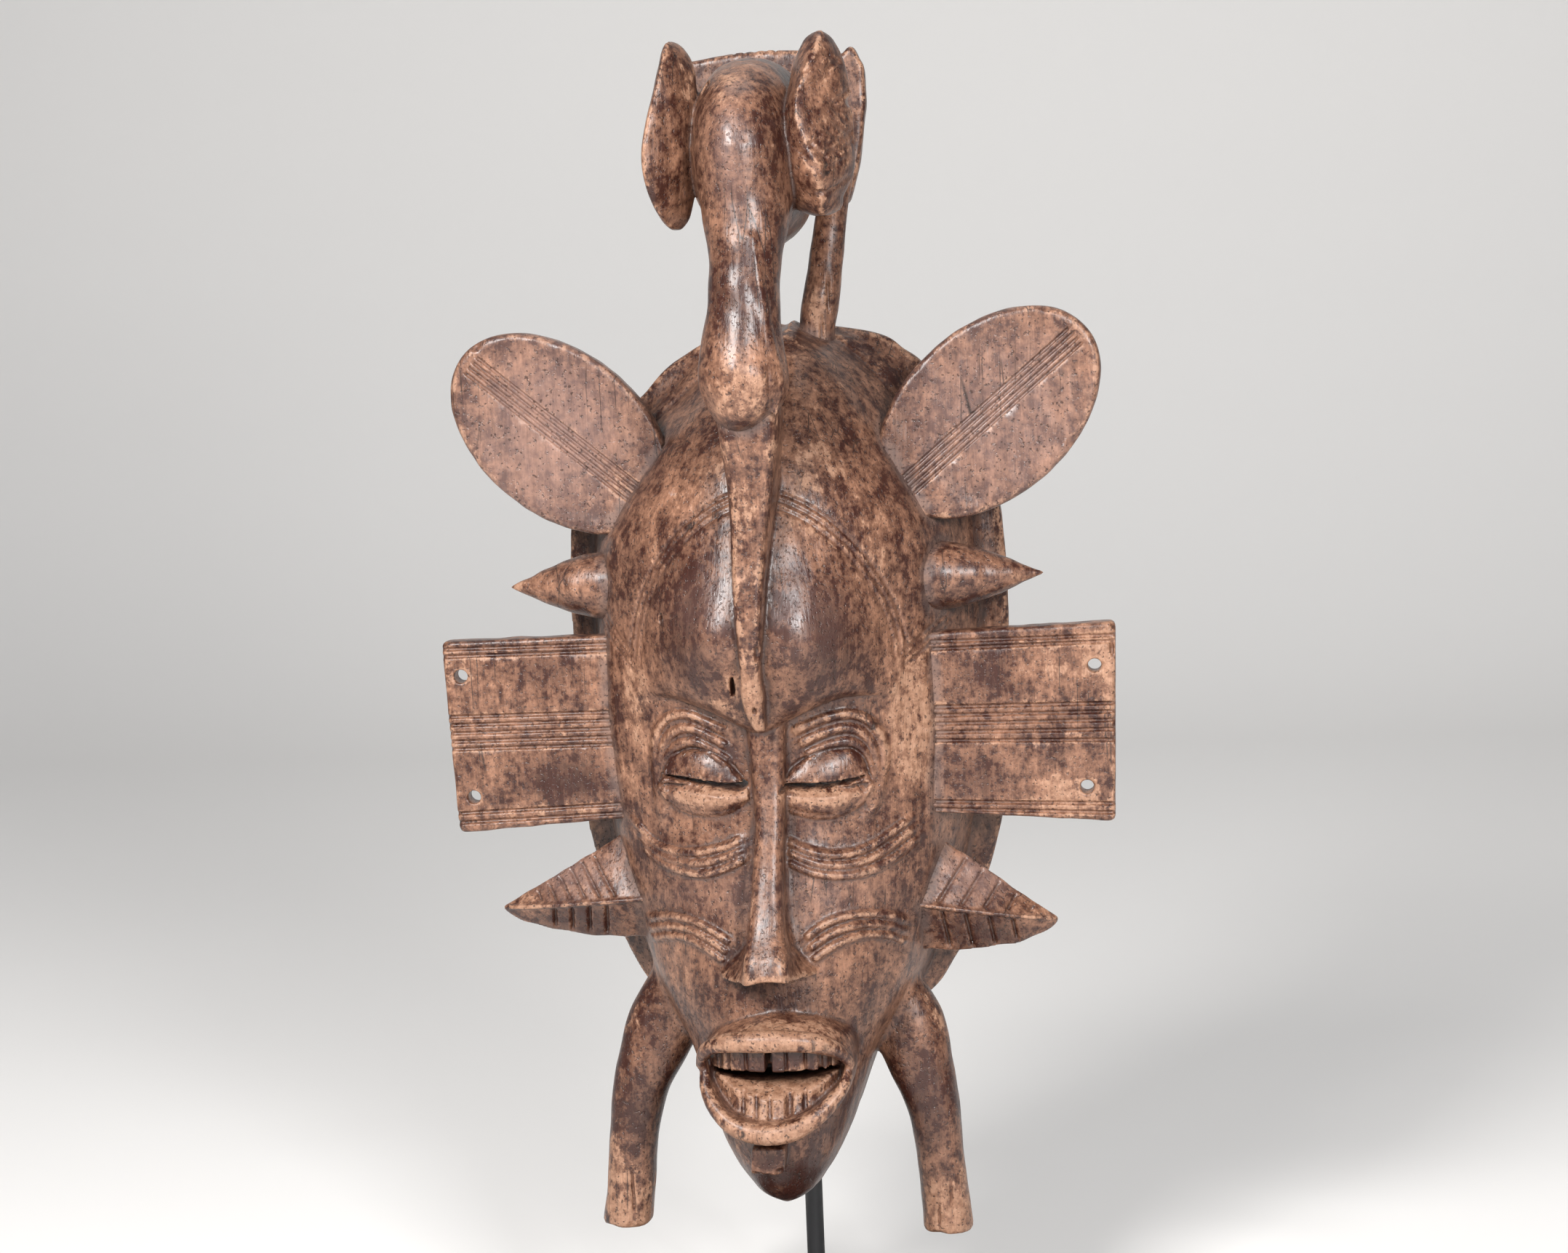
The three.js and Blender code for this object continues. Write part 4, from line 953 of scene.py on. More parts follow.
def panelBlock(k):
    shape = panelShape
    block = Block(*shape["grid"])
    x, y, z = block.x, block.y, block.z
    outer = x - (shape["outerBottom"][k] + (shape["outerTop"][k] - shape["outerBottom"][k]) * (z - 190) / 61)
    share = (x - 45) / 61
    low = shape["bottomInner"] + (shape["bottomOuter"] - shape["bottomInner"]) * share
    high = shape["topInner"][k] + (shape["topOuter"][k] - shape["topInner"][k]) * share
    outline = smoothMax(outer, smoothMax(z - high, low - z, 1), 2.2)
    outline = smoothMax(outline, 45.2 - x + 0 * z, 0.5)
    relief = np.zeros_like(x + z)
    for inner, outerZ in shape["grooves"][k]:
        line = np.abs(z - inner - (outerZ - inner) * share)
        relief = np.maximum(relief, groove(line, shape["grooveDeep"], shape["grooveWide"]))
    thick = np.maximum(shape["front"] + relief - y, y - shape["back"])
    block.field = smoothMax(outline + 0 * y, thick, 1.7)
    for hx, hz in shape["holes"][k]:
        block.field = smoothMax(block.field, shape["holeRadius"] - np.hypot(x - hx, z - hz) + 0 * y, 0.8)
    block.field = (block.field + 0.14 * waves(block, 51 + k, (8, 14))).astype(np.float32)
    cutChips(block, shape["chips"][k], 0.8)
    clearHollow(block, x, z)
    return block, None


def leafBlock(k):
    shape = leafShape
    block = Block(*shape["grid"])
    x, y, z = block.x, block.y, block.z
    t = np.clip((x - shape["root"]) / (shape["tip"][k] - shape["root"]), 0, 1)
    opening = np.clip(1 - t ** shape["roundness"], 0, 1) ** (1 / shape["roundness"])
    ridgeZ = shape["ridgeZ"][k] + (shape["tipZ"][k] - shape["ridgeZ"][k]) * t
    back = shape["back"] + (shape["tipBack"] - shape["back"]) * t
    topZ = ridgeZ + (shape["topZ"][k] + shape["rise"] - shape["ridgeZ"][k]) * (1 - t) + 0.5
    bottomZ = ridgeZ - (shape["ridgeZ"][k] - shape["bottomZ"][k]) * opening - 0.5
    ridgeY = back + (shape["ridgeY"] - shape["back"]) * opening

    def facet(edgeZ, sign):
        dz, dy = edgeZ - ridgeZ, back - ridgeY
        return (-(y - ridgeY) * np.abs(dz) + (z - ridgeZ) * dy * sign) / (np.hypot(dz, dy) + 0.01)

    facets = [facet(topZ, 1), facet(bottomZ, -1)]
    for i, (key, lean) in enumerate((("above", shape["leanUp"]), ("below", shape["leanDown"]))):
        start, pitch, count = shape[key][k]
        way = x - lean * (z - ridgeZ) - start
        line = np.abs(way - pitch * np.clip(np.round(way / pitch), 0, count - 1)) / math.hypot(1, lean)
        deep = groove(line, shape["deep"], shape["wide"])
        rim = (topZ - z, z - bottomZ)[i]
        facets[i] = facets[i] + deep * smoothStep(0.9, 1.7, np.abs(z - ridgeZ)) * smoothStep(1.8, 4.6, rim)
    leaf = smoothMax(facets[0], facets[1], 0.5)
    crest = np.hypot(z - ridgeZ, y - ridgeY - 0.25) - 0.75
    leaf = smoothMin(leaf, np.maximum(crest, x - shape["tip"][k] + 3), 0.4)
    leaf = smoothMax(leaf, y - back, 1.8)
    leaf = smoothMax(leaf, x - shape["tip"][k] + 0 * leaf, 1.5)
    block.field = np.maximum(leaf, shape["root"] - x) + 0.12 * waves(block, 61 + k, (6, 11))
    clearHollow(block, x, z)
    return block, None


# Points and four-sided faces of the surface where a block's field is zero.
def surfaceNet(block):
    field = block.field
    for axis in range(3):
        for end in (0, -1):
            field[tuple(end if k == axis else slice(None) for k in range(3))] = 5
    inside = field < 0
    shape = tuple(n - 1 for n in field.shape)
    corners = [(i, j, k) for i in (0, 1) for j in (0, 1) for k in (0, 1)]
    count = np.zeros(shape, np.int8)
    for i, j, k in corners:
        count += inside[i:i + shape[0], j:j + shape[1], k:k + shape[2]]
    active = (count > 0) & (count < 8)
    cells = np.argwhere(active)
    index = np.full(shape, -1, np.int32)
    index[active] = np.arange(len(cells))
    total = np.zeros((len(cells), 3))
    hits = np.zeros(len(cells))
    for axis in range(3):
        for corner in corners:
            if corner[axis]:
                continue
            a = cells + corner
            b = a.copy()
            b[:, axis] += 1
            va, vb = field[tuple(a.T)], field[tuple(b.T)]
            crossing = (va < 0) != (vb < 0)
            share = np.where(crossing, va / np.where(crossing, va - vb, 1), 0)
            for k in range(3):
                value = block.axes[k][a[:, k]]
                if k == axis:
                    value = value + share * (block.axes[k][b[:, k]] - value)
                total[:, k] += np.where(crossing, value, 0)
            hits += crossing
    points = total / hits[:, None]
    faces = []
    for axis in range(3):
        one, two = [k for k in range(3) if k != axis]
        low = [slice(1, -1)] * 3
        low[axis] = slice(0, -1)
        high = list(low)
        high[axis] = slice(1, None)
        first = inside[tuple(low)]
        change = np.argwhere(first != inside[tuple(high)])
        start = first[tuple(change.T)]
        cell = change.copy()
        cell[:, one] += 1
        cell[:, two] += 1
        quad = []
        for p, q in ((-1, -1), (0, -1), (0, 0), (-1, 0)):
            at = cell.copy()
            at[:, one] += p
            at[:, two] += q
            quad.append(index[tuple(at.T)])
        quad = np.stack(quad, 1)
        flip = start if axis != 1 else ~start
        quad[~flip] = quad[~flip][:, ::-1]
        faces.append(quad)
    return points, np.concatenate(faces)


def meshObject(name, points, faces):
    mesh = bpy.data.meshes.new(name)
    sides = faces.shape[1]
    mesh.vertices.add(len(points))
    mesh.vertices.foreach_set("co", np.asarray(points, np.float32).ravel())
    mesh.loops.add(len(faces) * sides)
    mesh.loops.foreach_set("vertex_index", faces.astype(np.int32).ravel())
    mesh.polygons.add(len(faces))
    mesh.polygons.foreach_set("loop_start", np.arange(0, len(faces) * sides, sides, dtype=np.int32))
    mesh.update(calc_edges=True)
    mesh.validate()
    mesh.shade_smooth()
    piece = bpy.data.objects.new(name, mesh)
    bpy.context.scene.collection.objects.link(piece)
    return piece


# The same piece with its mesh taken through one modifier.
def settled(piece):
    result = bpy.data.meshes.new_from_object(piece.evaluated_get(bpy.context.evaluated_depsgraph_get()))
    piece.modifiers.clear()
    piece.data = result
    result.shade_smooth()
    return piece


def carved(name, block, place, side, triangles):
    points, faces = surfaceNet(block)
    if place:
        points = place(points)
    if side < 0:
        points[:, 0] *= -1
        faces = faces[:, ::-1]
    points[:, 1] += backPlane
    piece = meshObject(name, points / 1000, faces)
    modifier = piece.modifiers.new("thin", "DECIMATE")
    modifier.ratio = min(1.0, triangles / (2 * len(faces)) / coarse)
    modifier.use_collapse_triangulate = True
    settled(piece)
    print(name, len(faces), "faces thinned to", len(piece.data.polygons), flush=True)
    return piece


pieces = [carved("carvedHead", headBlock(), None, 1, 190000), carved("hornbill", birdBlock(), None, 1, 105000)]
sideKinds = (
    ("ear", earBlock, 26000), ("spike", spikeBlock, 7000), ("panel", panelBlock, 30000), ("leaf", leafBlock, 24000),
)
for k, suffix in enumerate(("Left", "Right")):
    for kind, build, triangles in sideKinds:
        pieces.append(carved(kind + suffix, *build(k), (-1, 1)[k], triangles))


# Soft regions as [x, y, z, radii, strength]: where the wood is worn pale, where it is dark (partly real dark patina,
# partly painted shade), and where a grey sheen is painted on in place of reflected light.
tints = {
    "tan": [
        [-42, -50, 233.1, 5, 16, 15.6, 0.8], [43.6, -48, 222, 8, 20, 21, 1.1],
        [19.8, -66, 304.6, 10.2, 16, 8.2, 0.7], [16.1, -72, 285.9, 5.8, 16, 4.8, 0.6],
        [-10.8, -78, 232.9, 3.8, 16, 4.9, 0.9], [103.6, -41, 239.5, 6.4, 16, 10.5, 0.9],
        [92, -41, 199, 13, 16, 9, 0.85], [86, -41, 237.5, 12, 16, 6, 0.85],
        [-94, -41, 241.9, 8.7, 16, 7.1, 0.55], [-74.5, -41, 196.8, 15.4, 16, 4.2, 0.35],
        [-54.2, -35, 66, 9.4, 20, 14, 0.6], [48.8, -35, 64, 9.2, 20, 14, 0.7], [0.5, -80, 149, 15.2, 16, 2.2, 1],
        [0.8, -88, 133.4, 22.3, 16, 4.9, 0.75], [-0.2, -90, 103.3, 15.5, 16, 5, 0.8],
        # The first entry below, on the lower teeth's shelf, is partly painted light: it paints the shelf pale as if
        # lit from the front, on top of its pale wood.
        [0, -82, 114.4, 17, 9, 3, 1.3], [-1.4, -88, 109.4, 13.1, 16, 5.4, 0.6],
        [-20.1, -64, 203.2, 12.4, 16, 2.3, 0.8], [18.9, -64, 202.9, 12.2, 16, 2.3, 0.8],
        [-1.1, -86, 297.3, 6.2, 16, 21.4, 0.6], [-5, -84, 238.5, 4.8, 16, 11.1, 0.8],
        [0.7, -98, 333.3, 10.3, 20, 10.2, 0.7], [-2.8, -78, 422.8, 8.5, 30, 5.6, 0.6],
        [-15.5, -60, 421.7, 2.4, 24, 8.9, 0.9], [28.5, -66, 406.6, 6.7, 24, 21.1, 0.45],
        [-86.3, -31, 163.9, 5.8, 16, 3.7, 0.8], [82.4, -31, 158.5, 6.6, 16, 3.6, 0.8],
        [-46.6, -45, 204.6, 3.5, 16, 10.2, 0.5], [-32.9, -58, 146, 5.5, 16, 11.7, 0.5],
        [-16.4, -68, 89.9, 4.5, 16, 7.2, 0.55], [-47, -38, 300.8, 4, 16, 5.5, 0.8],
        [102, -38, 341.4, 3.9, 16, 14.6, 0.5], [16.5, -12, 356.2, 3.6, 16, 15.1, 0.6],
        [46.4, -30, 125.2, 3.6, 16, 13, 0.4], [-51.5, -30, 121.2, 3.1, 16, 13.2, 0.4],
        [36.7, -62, 279.5, 7.3, 16, 14.6, 0.35], [-20.7, -64, 300.9, 9.7, 16, 7.3, 0.35],
        [76.3, -33, 265.4, 4.9, 16, 2.5, 0.5], [-79.6, -33, 268.5, 5.2, 16, 2.5, 0.5],
    ],
    # Dark: dark patina patches, plus painted shade in the eye slits, in the mouth's opening, under the nose, on the
    # inner sides of the legs and in the gap beside the bird's neck.
    "dark": [
        [-0.6, -92, 319.5, 8.5, 16, 3.3, 1], [-19.6, -64, 213.6, 12.3, 16, 6.5, 0.7],
        [19.8, -64, 212.7, 12.2, 16, 6.4, 0.7], [-17.1, -78, 256.1, 13, 16, 17, 0.8],
        [18.9, -78, 253, 14, 16, 17, 0.85], [-65.7, -36, 157.3, 15, 16, 6.2, 0.8],
        [63.3, -36, 152.7, 15.1, 16, 6.6, 0.8], [-70.8, -36, 289.6, 20.3, 16, 4.6, 0.7],
        [-68.9, -41, 205.6, 14.8, 16, 8.7, 0.7], [-74.9, -41, 240.2, 12.8, 16, 6.6, 0.5],
        [74.4, -41, 236.5, 14.8, 16, 6.5, 0.6], [63.5, -41, 204.1, 9.9, 16, 8.6, 0.55],
        [-42.1, -24, 107.6, 6.3, 16, 18.6, 0.9], [37.6, -24, 102.8, 5.1, 16, 21.1, 0.9],
        [-50, -30, 104, 11, 20, 26, 0.6], [46, -30, 100, 10, 20, 24, 0.7], [1.5, -68, 80, 14, 18, 12, 1.2],
        [15.1, -60, 100.1, 6.5, 16, 18, 0.6],
        # Painted shade: the mouth's opening and the two eye slits are darkened deep inside, where shade falls.
        [0.4, -89, 124.6, 20, 5, 3.2, 0.9], [0, -62, 121, 20, 14, 6, 2.2], [-20, -44, 210, 16, 13, 6, 2.2],
        [17, -44, 209, 16, 13, 6, 2.2], [1, -92, 357.5, 10.3, 16, 14, 0.6],
        [-63.7, -33, 262.2, 6.6, 16, 3.5, 0.8], [56.7, -33, 258.9, 5.9, 16, 3.5, 0.6],
        [12.3, -50, 371.8, 6.4, 40, 8.3, 0.8], [-20.7, -72, 277.3, 8.3, 16, 9.7, 0.5],
        [11.6, -76, 273.2, 6.8, 16, 8.2, 0.6], [-0.7, -72, 140.9, 12.3, 16, 4.6, 0.6],
        [-24.1, -62, 397.1, 3.4, 24, 16.6, 0.6], [14.8, -62, 402.6, 3.9, 24, 16.5, 0.7],
        [-3.4, -78, 91.5, 6.4, 16, 5.5, 1.3], [-29.6, -60, 169.2, 12.5, 16, 5.1, 0.3],
        [-34.4, -56, 130.2, 7.6, 16, 10.3, 0.4], [43.5, -40, 311.7, 5.5, 16, 17.3, 0.6],
        [-36, -40, 314.3, 5, 16, 12.4, 0.5],
    ],
    # Painted sheen: a grey-pink colour laid on the ears, the bird's breast, the leaves, a band across the face and
    # the forehead lobes, standing in for reflected light.
    "paintedSheen": [
        [-69.1, -38, 316.5, 25.3, 16, 27.5, 1], [74.4, -38, 317.9, 26.9, 16, 27, 0.75],
        [-0.6, -84, 400.4, 5.2, 16, 16.2, 0.7], [-70.5, -38, 173.4, 13.4, 16, 6.7, 0.8],
        [63, -38, 170.6, 13, 16, 6.7, 0.8], [3.1, -62, 171.6, 44.4, 16, 7.5, 0.3],
        [-16.5, -80, 263.6, 9.6, 16, 9.6, 0.3], [18.3, -80, 260.3, 9.6, 16, 9.7, 0.3],
    ],
}


# Values of a mesh as rows of the given length.
def meshRows(data, name, width, kind=np.float32):
    values = np.empty(len(data) * width, kind)
    data.foreach_get(name, values)
    return values.reshape(-1, width)


# Marks kept at the points: sharp edges, hollows, dust where two pieces meet, and the tints. The hollows and the dark
# tints also carry painted shade, and one tint is a painted sheen.
def markWearShadeAndSheen(piece, others):
    mesh = piece.data
    count = len(mesh.vertices)
    points = meshRows(mesh.vertices, "co", 3) * 1000
    normals = meshRows(mesh.vertex_normals, "vector", 3)
    a, b = meshRows(mesh.edges, "vertices", 2, np.int32).T
    ends, starts = np.concatenate([a, b]), np.concatenate([b, a])
    share = np.maximum(np.bincount(ends, minlength=count), 1)
    smooth, heights = points.astype(float), {}
    for step in range(1, 25):
        around = np.stack([np.bincount(ends, smooth[starts, k], count) / share for k in range(3)], 1)
        smooth = 0.4 * smooth + 0.6 * around
        if step in (3, 24):
            heights[step] = ((smooth - points) * normals).sum(axis=1)
    fine, broad = heights[3], heights[24]
    marks = {
        "edge": np.clip(0.65 * smoothStep(0.02, 0.13, -fine) + 0.6 * smoothStep(0.12, 0.75, -broad), 0, 1),
        # Hollows: the material darkens them as painted shade and also gathers dust in them.
        "crease": np.clip(0.65 * smoothStep(0.02, 0.12, fine) + 0.6 * smoothStep(0.1, 0.6, broad), 0, 1),
    }
    near = np.full(count, 99.0)
    for i, point in enumerate(points if others else []):
        near[i] = others.find(point)[2]
    marks["dust"] = smoothStep(5.5, 0.8, near)
    places = points - np.array([0, backPlane, 0])
    for name, regions in tints.items():
        value = np.zeros(count)
        for *centre, rx, ry, rz, strength in regions:
            q = sum(((places[:, k] - centre[k]) / r) ** 2 for k, r in enumerate((rx, ry, rz)))
            value = np.maximum(value, strength * np.exp(-q ** 1.5 * 0.7))
        marks[name] = value
    for name, values in marks.items():
        mesh.attributes.new(name, "FLOAT", "POINT").data.foreach_set("value", values.astype(np.float32))


# A quick way to find the nearest place on the pieces given.
def nearness(owners):
    places = [meshRows(owner.data.vertices, "co", 3)[::3] * 1000 for owner in owners]
    places = np.concatenate(places)
    tree = kdtree.KDTree(len(places))
    for i, place in enumerate(places):
        tree.insert(place, i)
    tree.balance()
    return tree


headNear, restNear = nearness(pieces[:1]), nearness(pieces[1:])
for piece in pieces:
    markWearShadeAndSheen(piece, restNear if piece is pieces[0] else headNear)
print("wear marked", flush=True)


# A short way to write a tree of shader nodes.
class Graph:
    def __init__(self, tree):
        self.tree = tree

    def node(self, kind, inputs, **settings):
        made = self.tree.nodes.new("ShaderNode" + kind)
        for key, value in settings.items():
            setattr(made, key, value)
        for key, value in inputs.items():
            if isinstance(value, bpy.types.NodeSocket):
                self.tree.links.new(value, made.inputs[key])
            else:
                made.inputs[key].default_value = value
        return made

    # Joins values to sockets by name.
    def feed(self, sockets, values):
        for key, value in values.items():
            self.tree.links.new(value, sockets[key])

    def math(self, operation, a, b=0.5):
        return self.node("Math", {0: a, 1: b}, operation=operation).outputs[0]

    def noise(self, vector, scale, detail, roughness=0.5):
        inputs = {"Vector": vector, "Scale": scale, "Detail": detail, "Roughness": roughness}
        return self.node("TexNoise", inputs).outputs["Fac"]

    def remap(self, value, low, high, toLow=0.0, toHigh=1.0):
        inputs = {"Value": value, "From Min": low, "From Max": high, "To Min": toLow, "To Max": toHigh}
        return self.node("MapRange", inputs).outputs[0]

    def mix(self, factor, a, b, kind="MIX"):
        a, b = ((*c, 1) if isinstance(c, tuple) else c for c in (a, b))
        return self.node("Mix", {0: factor, 6: a, 7: b}, data_type="RGBA", blend_type=kind).outputs[2]

    def ramp(self, value, stops):
        made = self.node("ValToRGB", {"Fac": value})
        band = made.color_ramp
        band.elements[1].position = stops[-1][0]
        for place, _ in stops[1:-1]:
            band.elements.new(place)
        for stop, (place, colour) in zip(band.elements, stops):
            stop.position, stop.color = place, (*colour, 1)
        return made.outputs["Color"]

    def stretched(self, vector, amounts):
        return self.node("VectorMath", {0: vector, 1: amounts}, operation="MULTIPLY").outputs[0]

    def weighed(self, *terms):
        total = None
        for value, weight in terms:
            part = self.math("MULTIPLY", value, weight)
            total = part if total is None else self.math("ADD", total, part)
        return total


# A shared node group with named inputs and outputs.
def nodeGroup(name, inputs, outputs):
    tree = bpy.data.node_groups.new(name, "ShaderNodeTree")
    for label, kind in inputs:
        tree.interface.new_socket(name=label, in_out="INPUT", socket_type="NodeSocket" + kind)
    for label, kind in outputs:
        tree.interface.new_socket(name=label, in_out="OUTPUT", socket_type="NodeSocket" + kind)
    start, end = tree.nodes.new("NodeGroupInput"), tree.nodes.new("NodeGroupOutput")
    return Graph(tree), start.outputs, end.inputs


# Upright fibres, blotches, patches, specks and cracks of old wood. The vector is in metres.
def grainGroup():
    names = ("Fibre", "Streak", "Blotch", "Patch", "Mottle", "Speck", "Crack", "Facet")
    graph, start, end = nodeGroup("woodGrain", [("Vector", "Vector")], [(name, "Float") for name in names])
    vector = start["Vector"]
    along = graph.stretched(vector, (1, 1, 0.085))
    halfAlong = graph.stretched(vector, (1, 1, 0.62))
    results = {
        "Fibre": graph.noise(along, 1700, 2, 0.6),
        "Streak": graph.noise(along, 430, 2, 0.65),
        "Blotch": graph.noise(vector, 46, 3, 0.65),
        "Patch": graph.noise(halfAlong, 165, 4, 0.78),
        "Mottle": graph.noise(vector, 360, 3, 0.72),
        "Speck": graph.noise(vector, 1000, 1, 0.5),
        "Facet": graph.noise(halfAlong, 150, 0, 0.4),
    }
    inputs = {"Vector": graph.stretched(vector, (1, 1, 0.05)), "Scale": 210.0}
    cells = graph.node("TexVoronoi", inputs, feature="DISTANCE_TO_EDGE")
    line = graph.remap(cells.outputs["Distance"], 0.0, 0.035, 1.0, 0.0)
    results["Crack"] = graph.math("MULTIPLY", line, graph.remap(graph.noise(halfAlong, 60, 1), 0.6, 0.68))
    graph.feed(end, results)
    return graph.tree


# Names of the point marks: wear, dust and tints, with painted shade in the hollows and dark tints and a painted
# sheen.
wearAndPaintedLightMarks = ("edge", "crease", "dust", "tan", "dark", "paintedSheen")
# Dark to pale red-brown, then the rare grey-pink of bare wood.
redBrowns = [
    (0.39, (0.034, 0.010, 0.006)), (0.555, (0.290, 0.145, 0.087)),
    (0.5551, (0.2736, 0.1707, 0.1391)), (1.0, (1, 1, 1)),
]
# Of these colours, the grey-pink sheen is a painted reflection, and the near-black one paints both dark patina and
# shade; the others are the wood's own colours.
woodColours = {
    "wornDeep": (0.200, 0.098, 0.056), "wornPale": (0.318, 0.178, 0.112), "darkPatchAndShade": (0.027, 0.010, 0.007),
    "paintedSheen": (0.225, 0.146, 0.126), "dust": (0.115, 0.078, 0.066), "speck": (0.030, 0.014, 0.010),
    "crack": (0.016, 0.009, 0.007),
}
lookOutputs = [("Color", "Color"), ("Roughness", "Float"), ("Height", "Float")]


# Colour, roughness and height of the carved, handled and dusty wood, with painted shade in its hollows and recesses
# and a painted grey sheen.
def patinaGroup(grain):
    inputs = [("Vector", "Vector")] + [(name.capitalize(), "Float") for name in wearAndPaintedLightMarks]
    graph, start, end = nodeGroup("woodPatina", inputs, lookOutputs)
    wood = graph.node("Group", {"Vector": start["Vector"]}, node_tree=grain)
    fibre, streak, blotch, patch, mottle, speck, crack, facet = (wood.outputs[k] for k in range(8))
    edge, crease, dust, tan, dark, paintedSheen = (start[name.capitalize()] for name in wearAndPaintedLightMarks)
    paints = woodColours
    tone = graph.weighed((patch, 0.3), (mottle, 0.3), (blotch, 0.2), (streak, 0.08), (tan, 0.05), (dark, -0.055))
    colour = graph.ramp(tone, redBrowns)
    light = graph.mix(graph.remap(mottle, 0.4, 0.6), paints["wornDeep"], paints["wornPale"])
    worn = graph.weighed((tan, 0.44), (edge, 0.4), (patch, 1.3), (mottle, 0.65), (streak, 0.2), (dark, -0.3))
    worn = graph.remap(worn, 1.38, 1.53)
    colour = graph.mix(graph.math("MULTIPLY", worn, 0.9), colour, light)
    # Dark patches of the patina, with painted shade added in the hollows and in the dark regions of the openings and
    # recesses.
    darkPatchAndShade = graph.weighed((dark, 0.36), (crease, 0.32), (mottle, 1.2), (patch, 0.7), (tan, -0.25), (edge, -0.3))
    darkPatchAndShade = graph.remap(darkPatchAndShade, 1.16, 1.36)
    colour = graph.mix(graph.math("MULTIPLY", darkPatchAndShade, 0.8), colour, paints["darkPatchAndShade"])
    # Painted sheen: a grey-pink colour mixed in where light would be reflected.
    colour = graph.mix(graph.remap(paintedSheen, 0, 1, 0, 0.5), colour, paints["paintedSheen"])
    dusty = graph.weighed((dust, 0.75), (crease, 0.46), (mottle, 0.5), (edge, -0.5))
    dusty = graph.remap(dusty, 0.55, 1.1, 0, 0.65)
    colour = graph.mix(dusty, colour, paints["dust"])
    colour = graph.mix(graph.remap(speck, 0.63, 0.7, 0, 0.75), colour, paints["speck"])
    colour = graph.mix(crack, colour, paints["crack"])
    shade = graph.weighed((fibre, 0.55), (streak, 0.25))
    shade = graph.node("CombineColor", {k: graph.remap(shade, 0.28, 0.52, 0.86, 1.14) for k in range(3)}).outputs[0]
    roughness = graph.weighed(
        (streak, 0.18), (worn, 0.18), (dusty, 0.45), (paintedSheen, -0.05), (dark, -0.06), (mottle, 0.15),
    )
    height = graph.weighed((fibre, 0.18), (streak, 0.45), (facet, 1.0))
    height = graph.math("ADD", height, graph.remap(speck, 0.6, 0.72, 0, -0.35))
    graph.feed(end, {
        "Color": graph.mix(1.0, colour, shade, "MULTIPLY"), "Roughness": graph.math("ADD", roughness, 0.22),
        "Height": height,
    })
    return graph.tree


def plainMaterial(name, colour, roughness):
    material = bpy.data.materials.new(name)
    material.use_nodes = True
    shader = material.node_tree.nodes["Principled BSDF"]
    shader.inputs["Base Color"].default_value = (*colour, 1)
    shader.inputs["Roughness"].default_value = roughness
    return material


# A material with its colour, roughness and bump from a node group, in the object's own space.
def groupMaterial(name, plain, group, constants, marks, bump):
    material = plainMaterial(name, *plain)
    graph = Graph(material.node_tree)
    shader = material.node_tree.nodes["Principled BSDF"]
    inputs = {"Vector": graph.node("TexCoord", {}).outputs["Object"], **constants}
    for mark in marks:
        inputs[mark.capitalize()] = graph.node("Attribute", {}, attribute_name=mark).outputs["Fac"]
    look = graph.node("Group", inputs, node_tree=group).outputs
    normal = graph.node("Bump", {**bump, "Height": look["Height"]}).outputs["Normal"]
    graph.feed(shader.inputs, {"Base Color": look["Color"], "Roughness": look["Roughness"], "Normal": normal})
    return material


bump = {"Strength": 0.8, "Distance": 0.0005}
wood = groupMaterial("patinatedWood", [(0.2, 0.1, 0.06), 0.4], patinaGroup(grainGroup()), {}, wearAndPaintedLightMarks, bump)
gloss = {"Specular IOR Level": 0.4, "Coat Weight": 0.1, "Coat Roughness": 0.22}
for name, value in gloss.items():
    wood.node_tree.nodes["Principled BSDF"].inputs[name].default_value = value
for piece in pieces:
    piece.data.materials.clear()
    piece.data.materials.append(wood)
    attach(piece, "root")
    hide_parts("mask")
print("wood material made", flush=True)


# Matt black paint on steel, a little uneven and rubbed.
def paintGroup():
    graph, start, end = nodeGroup("paintedSteel", [("Vector", "Vector"), ("Rubbed", "Float")], lookOutputs)
    fine, broad = graph.noise(start["Vector"], 2600, 3, 0.6), graph.noise(start["Vector"], 120, 4, 0.6)
    rub = graph.remap(graph.weighed((start["Rubbed"], 0.5), (broad, 1.0)), 0.75, 1.0)
    colour = graph.mix(rub, (0.009, 0.009, 0.010), (0.030, 0.029, 0.029))
    graph.feed(end, {"Color": colour, "Roughness": graph.remap(broad, 0.35, 0.65, 0.42, 0.62), "Height": fine})
    return graph.tree


bump = {"Strength": 0.4, "Distance": 0.0001}
black = groupMaterial("blackSteel", [(0.01, 0.01, 0.011), 0.5], paintGroup(), {"Rubbed": 0.3}, (), bump)

# Stand rod: an upright that bends forward into the dome, a cross bar there and a rest near the chin.
rodShape = {"Radius": 0.003, "Bend": 0.012, "Around": 20, "Turn": 8}
rodPaths = [
    [[1, 8, 3.3], [1, 8, 292], [1, -12, 310.5], [1, -24, 314]],
    [[-12, -24, 314], [14, -24, 314]],
    [[1, 8, 83], [1, 0.3, 83]],
]


